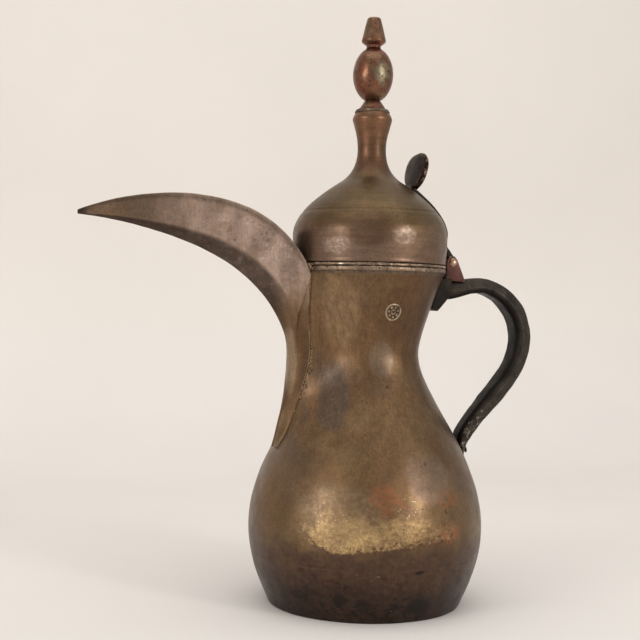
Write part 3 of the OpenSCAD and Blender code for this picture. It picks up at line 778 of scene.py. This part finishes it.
def stamp_depth(across, up):
    """A generic punched mark: a ring with a ring of dots and one in its middle."""
    far = np.hypot(across, up)
    ring = np.exp(-((far - STAMP_R) / 0.38) ** 2)
    inner = 0.6 * np.exp(-((far - 1.1) / 0.30) ** 2)
    dots = 0 * far
    for k in range(7):
        a = 2 * math.pi * k / 7 + 0.3
        here = np.hypot(across - 2.7 * math.cos(a), up - 2.7 * math.sin(a))
        dots = np.maximum(dots, np.exp(-(here / 0.5) ** 2))
    raised = 0.25 * np.exp(-((far - STAMP_R - 0.9) / 0.6) ** 2)
    return 0.34 * (np.maximum(np.maximum(ring, inner), dots) - raised)


def make_body():
    line = spaced(chain(BULB_LOW, BULB_HIGH, NECK_FLARE), 1.15)
    heights = denser(line[(line[:, 1] > SEAM_Z) & (line[:, 1] < MOUTH_Z)][:, 1], STAMP_Z, 6.2, 0.17)
    heights = np.concatenate([[SEAM_Z], heights, [MOUTH_Z]])
    neck_r = float(body_r(STAMP_Z))
    stamp_angle = -math.acos(STAMP_X / neck_r)
    angles = denser(np.linspace(-math.pi, math.pi, COLUMNS, endpoint=False), stamp_angle, 0.18, 0.0052)
    phi = (angles + 2 * math.pi) % (2 * math.pi) - math.pi
    z = heights[:, None] + 0 * angles
    r = flanged_r(z, phi)
    across, up = (angles - stamp_angle) * neck_r, z - STAMP_Z
    struck = stamp_depth(across, up) * (np.abs(up) < 7)
    near_stamp = np.hypot(across, up) < STAMP_R
    r = r - struck
    outer = polar(r, angles, z)
    lip = [[LIP_R, MOUTH_Z + 0.2], [LIP_R, RIM_TOP_Z - 0.6], [LIP_R - 0.3, RIM_TOP_Z - 0.3],
           [LIP_R - 1.0, RIM_TOP_Z - 0.3], [LIP_R - 1.3, RIM_TOP_Z - 0.6], [LIP_R - 1.3, MOUTH_Z]]
    lip = turned(lip, around=angles)
    inner_z = np.linspace(MOUTH_Z - 3, SEAM_Z, 56)[:, None] + 0 * angles
    wall = WALL * np.interp(inner_z, [30, 70, 110, 141, 186], [1, 1.15, 1.3, 1, 1.1])
    inner = polar(flanged_r(inner_z, phi) - wall, angles, inner_z)
    shape = Shape()
    points = np.concatenate([outer, lip, inner])
    wear, grime_and_shade = np.zeros(points.shape[:2]), np.zeros(points.shape[:2])
    wear[:len(outer)] = 4.0 * np.clip(struck, 0, 0.4)
    grime_and_shade[:len(outer)] = 0.55 * (near_stamp & (struck < 0.12))
    index = shape.add(points, wear, grime_and_shade)
    inside = (np.arange(len(index)) >= len(heights) + 3).astype(int)[:, None]
    shape.quads(index, along=True, paint=inside)
    body = piece("body_shell_skin", shape, [BODY_BRASS, TINNED], "pot", ["body_shell"], DENTS)
    cut(body, spout_opening())


def spout_opening():
    """The egg-shaped way from the neck into the spout, as a prism along X."""
    low_r, bottom = 4.5, 120
    high_r, top = 9.0, 180
    upper = arc((0, top - high_r), high_r, 180, 0, 15)
    lower = arc((0, bottom + low_r), low_r, 0, -180, 15)
    near, far = -52, -16
    return tube(np.array([[[x, y, z] for y, z in [*upper, *lower]] for x in (near, far)]))


def make_base():
    pan_out = spaced(chain(BULB_LOW, n=80), 0.9)
    pan_out = pan_out[(pan_out[:, 1] > 0.6) & (pan_out[:, 1] < SEAM_Z - 0.5)]
    top = float(body_r(SEAM_Z))
    lap = [[top - 0.02, SEAM_Z - 0.1], [top - 0.12, SEAM_Z + 0.2],
           [top - 0.3, SEAM_Z + 0.9], [top - 0.8, SEAM_Z + 0.9]]
    pan_in = offset(pan_out, -WALL)[::-1]
    r = FOOT_R
    foot = [[r - 1.4, 0.15], [r - 0.9, 0.02], [r - 0.3, 0.05], [r, 0.25]]
    shape = turned_shape(np.vstack([foot, pan_out, lap, pan_in]), COLUMNS, closed=True)
    piece("base_pan_skin", shape, [BODY_BRASS], "pot", ["base_pan"], DENTS)
    disc = [[0, 0.4], [30, 0.35], [44, 0.15], [r - 4, 0], [r - 2.2, 0.05], [r - 1.7, 0.4], [r - 1.6, 2.0],
            [r - 1.8, 6.8], [r - 3.0, 6.8], [r - 3.1, 2.2], [40, 1.9], [0, 1.8]]
    shape = turned_shape(disc, COLUMNS)
    piece("base_disc_skin", shape, [BODY_BRASS], "pot", ["base_disc"], [(0.05, 9)])


def make_rim():
    """The soldered ring: a lower band, a groove and a thin bead on top, with solder run in below it."""
    sides = 540
    low, back = MOUTH_Z + 0.1, LIP_R - 0.2
    high = RIM_TOP_Z - low
    # The last column darkens the groove, and paints shade along the ring's lower edge.
    rows = np.array([  # radius, height above low, wear, grime
        [back, 0, 0, 0.9], [42.6, 0, 0, 0.9], [43.1, 0.15, 0.2, 0.6], [43.3, 0.6, 0.4, 0.1],
        [43.3, 1.3, 0.3, 0], [43.3, 2.0, 0.3, 0], [43.2, 2.4, 0.5, 0.1], [42.9, 2.65, 0.2, 0.6],
        [42.7, 2.8, 0, 1], [42.7, 2.95, 0, 1], [42.9, 3.1, 0.2, 0.6], [43.2, 3.3, 0.7, 0.1],
        [43.28, 3.7, 1.1, 0], [43.2, 4.1, 1.1, 0], [42.95, high - 0.1, 0.9, 0], [42.6, high, 0.5, 0.2],
        [back, high, 0, 0.5],
    ])
    shape = turned_shape(rows[:, :2] + [0, low], sides, closed=True, wear=rows[:, 2:3], grime_and_shade=rows[:, 3:])
    layers = [(0.20, 9), (0.22, 3.2), (0.14, 1.3)]
    piece("rim_ring_skin", shape, [SOLDER], "pot", ["rim_ring"], layers)
    fillet = offset(spaced([[42.2, MOUTH_Z - 1.2], [42.5, MOUTH_Z - 0.2], [43.0, low + 0.5]], 0.3), 0.15)
    shape = turned_shape(np.vstack([fillet, fillet[::-1] - [0.9, 0]]), sides, closed=True, grime_and_shade=0.5)
    piece("rim_solder", shape, [SOLDER], "pot", (), [(0.35, 5), (0.25, 1.8)])


# ---- spout

SIDE = 34
CREASE_ROW = 12
BEAK_WALL = 1.2


def seam_z(s):
    return mix(185.4, 88, (s - 1) ** 0.9)


def keel_at(s):
    if s <= 1:
        return cubic(KEEL_BEAK, 0.80 * s)
    if s <= 1.4:
        return cubic(KEEL_BEAK, 0.80 + 0.20 * (s - 1) / 0.4)
    sink = 0.8 * float(ramp(s, 1.85, 2))
    return cubic(KEEL_TAIL, (s - 1.4) / 0.6) + [sink, 0]


def spout_edge(s):
    """The beak's upper edge, or the seam on the neck, and the half width there."""
    if s <= 1:
        return cubic(EDGE_BEAK, s), mix(0.9, 17, s ** 0.8)
    z = seam_z(s)
    half = float(seam_half(z))
    lap = mix(0.45, -0.7, float(ramp(s, 1.7, 2)))
    r = float(body_r(z) + flange_out(z)) + lap
    return np.array([-math.sqrt(r * r - half * half), z]), half


def crease_v(s):
    return 0.3 + 0.45 * min(1, s) * (1 - min(1, s))


def spout_side(s, inset):
    """Half of the section at station s, from the keel to the edge, set in from the outside."""
    keel = keel_at(s)
    edge, half = spout_edge(s)
    row = np.arange(SIDE + 1)
    crease = crease_v(s)
    lower = crease * row / CREASE_ROW
    upper = crease + (1 - crease) * (row - CREASE_ROW) / (SIDE - CREASE_ROW)
    v = np.where(row <= CREASE_ROW, lower, upper)
    root = float(ramp(s, 1.0, 1.42))
    v = np.clip(mix(v, 1 - np.cos(math.pi / 2 * row / SIDE), root), 0, 1)
    soft, at_crease = 0.018, 0.86
    rest = (1 - at_crease) * (v - crease) / (1 - crease)
    beak = -soft * np.logaddexp(-at_crease * v / crease / soft, -(at_crease + rest) / soft)
    beak = np.maximum(beak - beak[0] * (1 - v), 0)
    beak[0] = 0
    round_arch = np.sqrt(np.clip(1 - (1 - v) ** 2, 0, 1))
    pointed_arch = np.sqrt(1 - np.sqrt(np.clip(1 - v, 0, 1)))
    across = mix(beak, mix(round_arch, pointed_arch, float(ramp(s, 1.55, 1.85))), root)
    long = np.linalg.norm(edge - keel)
    v = v + 1.5 * inset / long * (1 - v)
    v = v + 0.012 * np.exp(-v / 0.02) * (1 - root)
    return upright(keel + (edge - keel) * v[:, None], half * across * (1 - inset / half))


def spout_ring(s):
    wall = mix(0.5, BEAK_WALL, min(1, 4 * s))
    outside, inside = spout_side(s, 0), spout_side(s, wall)
    up = unit(outside[-1] - outside[-4]) * [1, 0, 1]
    lip = []
    for a in (45, 90, 135):
        share = (1 - math.cos(math.radians(a))) / 2
        lip.append(mix(outside[-1], inside[-1], share) + up * 0.35 * wall * math.sin(math.radians(a)))
    half = np.vstack([outside, lip, inside[::-1]])
    other = half[1:-1][::-1] * [1, -1, 1]
    return np.vstack([half, other])


def make_spout():
    stations = np.concatenate([np.linspace(0, 1, 120) ** 1.06, 1 + np.linspace(0, 1, 90)[1:]])
    rings = np.array([spout_ring(float(s)) for s in stations])
    half = 2 * SIDE + 5  # points from the keel round the lip and back inside
    row = np.arange(rings.shape[1])
    mirrored = np.where(row < half, row, 2 * half - 2 - row)
    lip = np.exp(-((mirrored - SIDE - 1.5) / 2.2) ** 2)
    ridge = 0.15 * np.exp(-((mirrored - CREASE_ROW) / 1.2) ** 2)
    beak = ramp(1.12 - stations, 0, 0.15)
    wear = (0.4 * lip + ridge)[None, :] * beak[:, None]
    inside = (mirrored > SIDE + 2).astype(int)
    # Darker on the lower facet, from the keel up to the crease.
    under = ramp(CREASE_ROW + 1 - mirrored, 0, 3) * 0.9
    grime_and_shade = under[None, :] * (ramp(stations, 0.0, 0.06) * ramp(0.98 - stations, 0, 0.24))[:, None]
    rim_dirt = 0.6 * np.exp(-((mirrored - SIDE + 1.5) / 1.5) ** 2)
    grime_and_shade = grime_and_shade + rim_dirt[None, :] * ramp(1.04 - stations, 0, 0.08)[:, None]
    shape = Shape()
    index = shape.add(rings, wear, grime_and_shade)
    shape.quads(index, paint=inside[None, :])
    for ring in (index[0], index[-1]):
        for j in range(SIDE + 1):
            across = np.array([j, half - 1 - j, half - 2 - j, j + 1])
            shape.face(ring[across])
            shape.face(ring[-across])
    layers = [(0.35, 26), (0.16, 9), (0.05, 4)]
    piece("spout_skin", shape, [SPOUT_BRASS, TINNED], "pot", ["spout"], layers)


def seam_point(z, side, out=0.0):
    half = float(seam_half(z))
    r = float(body_r(z) + flange_out(z)) + out
    return np.array([-math.sqrt(r * r - half * half), side * half, z])


SEAM_GRAINS = 70
RIM_GRAINS = 16


def make_braze():
    """The brazed bead along both seams of the spout, and the grains spilt beside it and on the rim."""
    parts = []
    draw = np.random.default_rng(11)
    for side in (-1, 1):
        path = np.array([seam_point(z, side, 0.25) for z in np.linspace(185.2, 99, 150)])
        along = unit(np.gradient(path, axis=0))
        rings = []
        for k, (p, d) in enumerate(zip(path, along)):
            a = unit(np.cross(d, [1, 0, 0]))
            b = np.cross(d, a)
            fade = float(ramp(k, 0, 6) * ramp(len(path) - 1 - k, 0, 30))
            size = 0.14 + fade * (0.22 + 0.20 * noise.noise(Vector(p) / 3.1 + Vector((side, 3, 5))))
            turn = circle(8)
            rings.append(p + size * (np.outer(np.cos(turn), a) + np.outer(np.sin(turn), b)))
        parts.append(tube(np.array(rings), wear=0.25))
        for _ in range(SEAM_GRAINS):
            z = draw.triangular(104, 122, 160)
            size = draw.uniform(0.25, 0.85) ** 1.4
            p = seam_point(z, side, 0.1) + [draw.normal(0, 0.8), side * abs(draw.normal(0, 1.3)), 0]
            phi = math.atan2(p[1], -p[0])
            r = float(flanged_r(np.array(p[2]), np.array(phi))) + 0.1 * size
            p = np.array([-r * math.cos(phi), r * math.sin(phi), p[2]])
            parts.append(lump(p, size, draw))
    z = RIM_TOP_Z - 2.4
    for side in (-1, 1):
        for _ in range(RIM_GRAINS):
            a = draw.normal(0.40, 0.035)
            at = np.array([-43.4 * math.cos(a), side * 43.4 * math.sin(a), z + draw.uniform(-2.2, 1.8)])
            parts.append(lump(at, draw.uniform(0.35, 1.0), draw))
    piece("spout_braze", joined(*parts), [BRAZE], "pot", (), [(0.12, 1.1)], sharp=80)


def lump(at, size, draw):
    """A small uneven drop of braze."""
    stretch = draw.uniform(0.7, 1.3, 3) * size
    shape = turned_shape(arc((0, 0), 1, -90, 90, 7), 9, wear=0.5)
    shape.verts = shape.verts * stretch + at
    return shape


# ---- handle

def bar_at(u):
    curve = BAR[min(3, int(u))]
    t = u - min(3, int(u))
    d = slope(curve, t)
    return cubic(curve, t), np.array([-d[1], d[0]])


def bar_ring(u):
    """Bevelled section of the forged bar: a narrow outer flat, a ridge on each side, an inner flat."""
    c, n = bar_at(u)
    wide = mix(13, 17, math.sin(math.pi / 3 * u)) if u < 3 else mix(13, 10, u - 3)
    if u < 1:
        thick = mix(BAR_T + 2, BAR_T, ramp(u, 0, 0.7))
    elif u < 3:
        thick = BAR_T + 1.6 * math.sin(math.pi / 2 * (u - 1))
    else:
        thick = mix(BAR_T, 1.6, ramp(u, 3, 4))
    t, w = float(thick) / 2, float(wide) / 2
    side = np.array([[t, 0.35 * w], [t - 0.4, 0.58 * w], [-0.2 * t, w],
                     [-0.45 * t, w], [0.3 - t, 0.72 * w], [-t, 0.5 * w]])
    loop = np.vstack([side, side[::-1] * [1, -1]])
    loop = rounded(loop, 0.7 * min(1, t / 3), 2)
    return upright(c + n * loop[:, :1], loop[:, 1])


def make_handle():
    stations = np.linspace(0, 4, 261)
    rings = np.array([bar_ring(float(u)) for u in stations])
    column = np.arange(rings.shape[1]) // 3
    mirrored = np.minimum(column, 11 - column)
    on_ridge = np.array([0.7, 0.9, 1.0, 0.8, 0.1, 0.0])[mirrored]
    # The inner flat and its edges get painted shade, as if they faced the dark body.
    inner_shade = np.array([0, 0, 0, 0.3, 1.0, 1.0])[mirrored]
    shape = tube(rings, on_ridge, inner_shade)
    layers = [(0.45, 22), (0.28, 8), (0.10, 3)]
    piece("handle_bar", shape, [IRON], "pot", ["handle"], layers, sharp=30)


def neck_frame(z):
    """The body's surface at height z on the handle's side, and the direction out of it."""
    up = float(body_r(z + 0.5) - body_r(z - 0.5))
    return np.array([float(body_r(z)), z]), unit(np.array([1.0, -up]))


def make_bracket():
    low_z, high_z = 166.5, 183.6
    low, _ = neck_frame(low_z)
    high, _ = neck_frame(high_z)
    _, out = neck_frame(174.5)
    back = [neck_frame(z)[0] - [0.2, 0] for z in np.linspace(high_z, low_z, 12)]
    front = [low + 4.2 * out, low + 5 * out + [0.3, 0.8]]
    side = spaced([front[1], [48.1, high[1] - 8.5], [48.1, high[1]]], 1.2)
    outline = np.vstack([rounded([low + [0.3, 0], front[0], front[1]], 1.2)[2:-2], side[1:], back[:-1]])
    piece("bracket_plate", plate(outline, 7.5, 1.0), [IRON], "pot", ["handle_bracket"],
          [(0.22, 7), (0.10, 2.5)])


def domed(radius, high, below, shank):
    """A rivet's outline: shank below its head's underside, and a domed head on it."""
    foot = [[0, -below], [shank, -below], [shank, 0], [radius - 0.15, 0.0]]
    head = [[radius * math.cos(a), high * math.sin(a)] for a in np.linspace(0.12, math.pi / 2, 9)]
    return np.array(foot + head[:-1] + [[0, high]])


def make_rivets():
    for name, z, grip in (("bracket_rivets", 170.5, 5.0), ("foot_rivet", 83, 5.2)):
        at, out = neck_frame(z)
        head = turned_shape(domed(3, 1.4, grip, 1.6), 40, wear=0.6)
        button = np.array([[0, -2.3], [2.5, -2.3], [2.8, -2.0], [2.8, -1.4], [0, -1.3]]) - [0, grip]
        button = turned_shape(button, 40)
        shape = placed(joined(head, button), at + grip * out, out)
        piece(name + "_heads", shape, [RED_COPPER], "pot", [name], [(0.12, 2.5)])


def make_hinge():
    x, z = HINGE
    ear = rounded([[x - 4.4, 182.8], [x - 4.1, z + 1.0], [x - 2.2, z + 3.8], [x + 0.6, z + 3.9],
                   [x + 2.6, z + 1.6], [x + 6.9, 184.4], [x + 7.6, 182]], 1.2, 4)
    lugs = []
    for side in (-1, 1):
        lug = plate(ear, 1.2, 0.45)
        lug.verts = lug.verts + [0, side * 5.1, 0]
        lugs.append(lug)
    ears = piece("hinge_ears", joined(*lugs), [RED_COPPER], "pot", ["hinge_lugs"], [(0.12, 3)])
    cut(ears, drilled(HINGE, PIN_R, 12))
    half = 6.3
    end = np.array([[0, 1.2], [1.1, 1.1], [2.1, 0.7], [2.5, 0.2], [2.4, 0], [PIN_R, 0]]) + [0, half]
    shape = turned_shape(np.vstack([end * [1, -1], end[::-1]]), 40, wear=0.7)
    shape.verts = shape.verts[:, [0, 2, 1]] * [1, 1, -1] + [x, 0, z]
    piece("hinge_pin_turned", shape, [PIN_COPPER], "pot", ["hinge_pin"], [(0.05, 2)])


# ---- lid

LID_WALL = 1.2
LID_SIDES = 200


def make_lid():
    outer = spaced(chain(LID_SKIRT, LID_SHOULDER, LID_WAIST, LID_FLARE, LID_CAP), 0.75)
    inner = offset(spaced(chain(LID_SKIRT, LID_SHOULDER, LID_WAIST, LID_FLARE), 2.0), -LID_WALL)
    inner = inner[(inner[:, 0] > 5) & (inner[:, 1] > 191)]
    groove = 0.30 * np.exp(-((outer[:, 1] - 219.5) / 0.55) ** 2) * (outer[:, 0] > 30)
    outer = outer - np.stack([groove, 0 * groove], axis=1)
    foot = [[41.9, 191.1], [42.3, 190.9], [42.8, 190.9], [43.15, 191.1], [43.3, 191.6], [43.2, 192.2]]
    top = [[8.3, 278.4], [0, 278.4]]
    outline = np.vstack([[[0, 277.2], [6, 277.2]], inner[::-1], foot, outer[2:], top])
    shape = Shape()
    index = shape.add(turned(outline, LID_SIDES))
    inside = (np.arange(len(outline) - 1) < len(inner) + 2).astype(int)[:, None]
    shape.quads(index, paint=inside)
    layers = [(0.30, 30), (0.16, 12), (0.03, 4)]
    piece("lid_dome_skin", shape, [LID_BRASS, TINNED], "lid", ["lid_dome"], layers)
    low, shelf, r, reach = 185.0, 194.2, 39.8, 42.2
    under = shelf - 1.2
    guide = [[r - 1, low], [r, low], [r, under], [reach, under], [reach, shelf], [r - 1, shelf]]
    guide = rounded(guide, 0.35, 2)
    shape = turned_shape(guide, LID_SIDES, closed=True)
    piece("lid_guide_skin", shape, [TINNED], "lid", ["lid_guide"], [(0.05, 12)])


STRAP_GAP = 0.05
STRAP_T = 2.2
STRAP_END = 0.93


def shoulder(t, out):
    d = slope(LID_SHOULDER, t)
    normal = np.array([d[1], -d[0]])
    return cubic(LID_SHOULDER, t) + out * normal, normal


def make_strap():
    knuckle = 3.3
    t = np.linspace(0, STRAP_END, 40)
    under = [shoulder(v, STRAP_GAP)[0] for v in t[::-1]]
    over = [shoulder(v, STRAP_GAP + STRAP_T)[0] for v in t]
    turn = arc(HINGE, knuckle, 163, 412, 28)
    outline = np.vstack([under, [[44.1, 201.2], [44.5, 199.2], [45.0, 197.2], [45.6, 195.4]], turn,
                         [[50.2, 197.2], [49.0, 198.8], [47.9, 200.4], [46.8, 201.8]], over])
    bar = plate(outline, 3.5, 0.55)
    high = bar.verts[:, 2]
    bar.verts[:, 1] *= mix(1, 6.5 / 3.5, ramp(high, 204, 212))
    hug = (40 - np.sqrt(40 ** 2 - bar.verts[:, 1] ** 2)) * ramp(high, 203, 210) * 0.8
    bar.verts[:, 0] -= hug
    strap = piece("lid_strap_bar", bar, [IRON], "lid", ["lid_strap"], [(0.10, 6), (0.04, 2)])
    cut(strap, drilled(HINGE, PIN_R + 0.05, 12))
    heads = []
    for v in (0.52, 0.80):
        at, out = shoulder(v, STRAP_GAP + STRAP_T)
        grip = STRAP_T + LID_WALL + STRAP_GAP
        head = turned_shape(domed(1.9, 0.9, grip, 1.1), 32, wear=0.7)
        button = np.array([[0, -0.75], [1.7, -0.75], [1.8, -0.4], [1.7, 0], [0, 0]]) - [0, grip]
        heads.append(placed(joined(head, turned_shape(button, 32)), at, out))
    piece("strap_rivet_heads", joined(*heads), [RED_COPPER], "lid", ["strap_rivets"], [(0.08, 2)])


def make_leaf():
    """The thumb leaf: a hammered oval, a little dished, on a short stalk."""
    wide, high, thick = 12.5, 11.5, 1.1
    rings, worn = [], []
    for share in (0.04, 0.3, 0.55, 0.78, 0.9, 0.96, 0.99, 1.0):
        a = circle(56)
        y = wide * share * np.sin(a) * (1 - 0.12 * np.cos(a))
        up = high - high * share * np.cos(a) - 0.6
        dish = 0.9 * share * share
        edge = thick * math.sqrt(max(0.0, 1 - max(0.0, (share - 0.88) / 0.12) ** 2))
        rings.append((np.stack([0 * a, y, up], axis=1), dish, edge))
        worn.append(share ** 6)
    front = [ring + [-edge + dish, 0, 0] for ring, dish, edge in rings]
    back = [ring + [edge + dish, 0, 0] for ring, dish, edge in rings[:-1]]
    leaf = tube(np.array(front + back[::-1]), np.array(worn + worn[:-1][::-1])[:, None])
    turn, lean = math.radians(8), math.radians(12)
    x, y, z = leaf.verts.T
    leaf.verts = polar(np.hypot(x, y), np.arctan2(y, x) + turn, z)
    stalk = plate(rounded([[-1.6, -1.2], [1.6, -1.2], [1.5, 2.6], [-1.3, 2.6]], 0.8), 3.2, 0.7)
    whole = joined(leaf, stalk)
    foot, normal = shoulder(STRAP_END, STRAP_GAP + STRAP_T)
    whole = placed(whole, foot - 0.6, (math.sin(lean), math.cos(lean)))
    layers = [(0.30, 9), (0.12, 3.5)]
    piece("thumb_leaf_plate", whole, [LEAF_METAL], "lid", ["thumb_leaf"], layers)
    head = placed(turned_shape(domed(1.7, 1.2, 1.4, 0.9), 32, wear=0.9), foot + [3.6, -2.2], normal)
    piece("leaf_rivet_head", head, [RED_COPPER], "lid", ["leaf_rivet"], [(0.08, 2)])


def make_finial():
    low, top, end = 283.8, 313.2, 331
    washer = rounded([[6.5, 278.4], [7.4, 278.9], [7.3, 279.6], [4.9, 283.2], [4.3, low]], 0.5, 3)[4:-4]
    washer = np.vstack([[[0, 278.3]], washer, [[4.2, low], [0, low]]])
    run_in = rounded([[6.9, 278.2], [9.2, 277.1], [9.9, 276.8], [9.9, 277.3],
                      [9.2, 278.5], [8.3, 279.0], [7.1, 279.1]], 0.3, 2)
    bead_r, bead_neck = 11.4, 4.2
    stop = math.acos(bead_neck / bead_r)
    a = np.linspace(-stop, stop, 60)
    bead_z = (low + top) / 2 + (top - low) / 2 * np.sin(a) / math.sin(stop)
    bead = np.vstack([[[0, low]], np.stack([bead_r * np.cos(a), bead_z], axis=1), [[0, top]]])
    tip = np.array([[4.4, 0], [3.9, 1.2], [4.5, 2.2], [6.3, 3.4], [6.9, 4.2], [6.9, 4.8],
                    [5.4, 11.3], [3.9, 17], [3.3, 17.8]]) + [0, top]
    tip = np.vstack([[[0, top]], rounded(np.vstack([tip, [[0, end]]]), 0.35, 2)[2:-2], [[0, end]]])
    solder = turned_shape(run_in, 240, closed=True, wear=0.3, grime_and_shade=0.5)
    washer = turned_shape(washer, wear=0.3)
    bead = turned_shape(bead, wear=0.12)
    tip = turned_shape(tip, wear=0.35)
    piece("finial_washer_turned", washer, [COPPER], "lid", ["finial_washer"], [(0.08, 5)])
    piece("finial_solder", solder, [SOLDER], "lid", (), [(0.35, 2.6), (0.25, 1.1)])
    piece("finial_bead_turned", bead, [COPPER], "lid", ["finial_bead"], [(0.22, 13), (0.07, 4)])
    piece("finial_tip_turned", tip, [COPPER], "lid", ["finial_tip"], [(0.10, 6)])
    for name, material in (("finial_rod", IRON), ("rod_burr", COPPER)):
        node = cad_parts[name]
        node.data.materials.clear()
        node.data.materials.append(material)
        bevel = node.modifiers.new("edge", "BEVEL")
        bevel.width = 0.25 * MM
        bevel.segments = 2


# ---- floor, light and camera

def make_stage():
    wall_y, bend = 750, 300
    line = np.vstack([[[-1400, 0]], arc((wall_y - bend, bend), bend, -90, 0, 20), [[wall_y, 1600]]])
    shape = Shape()
    rows = np.array([[[x, y, z] for y, z in line] for x in np.linspace(-2500, 2500, 11)])
    shape.quads(shape.add(rows), around=False)
    mesh = new_mesh("backdrop", shape)
    mesh.shade_smooth()
    floor = new_object("backdrop", mesh)
    p = Paint("pale_floor")
    p.colour = p.blend(p.band(p.z, 0.0, 0.25), (0.78, 0.76, 0.74), (0.78, 0.745, 0.71))
    p.shade(p.band(p.cloud(260, 3), 0.3, 0.7, 0.985, 1.015))
    mesh.materials.append(p.close(0.0, 0.75, p.bumps((p.cloud(3, 3), 0.03, 0.1))))


def area_light(name, at, size, power, colour, towards=(0, 0, 140)):
    light = bpy.data.lights.new(name, "AREA")
    light.shape = "RECTANGLE"
    light.size, light.size_y = size[0] * MM, size[1] * MM
    light.energy = power
    light.color = colour
    obj = new_object(name, light)
    obj.location = Vector(at) * MM
    obj.rotation_mode = "QUATERNION"
    obj.rotation_quaternion = (Vector(towards) - Vector(at)).to_track_quat("-Z", "Y")


def make_light():
    world = bpy.data.worlds.new("soft_room")
    world.use_nodes = True
    background = world.node_tree.nodes["Background"]
    background.inputs["Color"].default_value = (0.86, 0.815, 0.77, 1)
    background.inputs["Strength"].default_value = 0.78
    bpy.context.scene.world = world
    area_light("window_right", (760, -1150, 520), (240, 330), 5.4, (1.0, 0.97, 0.93))
    area_light("window_left", (-1150, -560, 480), (460, 480), 4.0, (1.0, 0.96, 0.92))
    area_light("ceiling", (0, -200, 1500), (1500, 1300), 7, (1.0, 0.97, 0.93), (0, 0, 0))


def make_camera():
    data = bpy.data.cameras.new("camera")
    data.lens = 66.4
    data.sensor_width = 36
    camera = new_object("camera", data)
    turn, pitch, roll = math.radians(16.74), math.radians(0.534), math.radians(1.1)
    ahead = Vector((math.sin(turn) * math.cos(pitch), math.cos(turn) * math.cos(pitch), -math.sin(pitch)))
    look = ahead.to_track_quat("-Z", "Y").to_matrix().to_4x4()
    stand = Matrix.Translation(Vector((-220.2, -636.4, 165)) * MM)
    camera.matrix_world = stand @ look @ Matrix.Rotation(roll, 4, "Z")
    bpy.context.scene.camera = camera


make_body()
make_base()
make_rim()
make_spout()
make_braze()
make_handle()
make_bracket()
make_rivets()
make_hinge()
make_lid()
make_strap()
make_leaf()
make_finial()
make_stage()
make_light()
make_camera()
bpy.context.scene.view_settings.view_transform = "Standard"
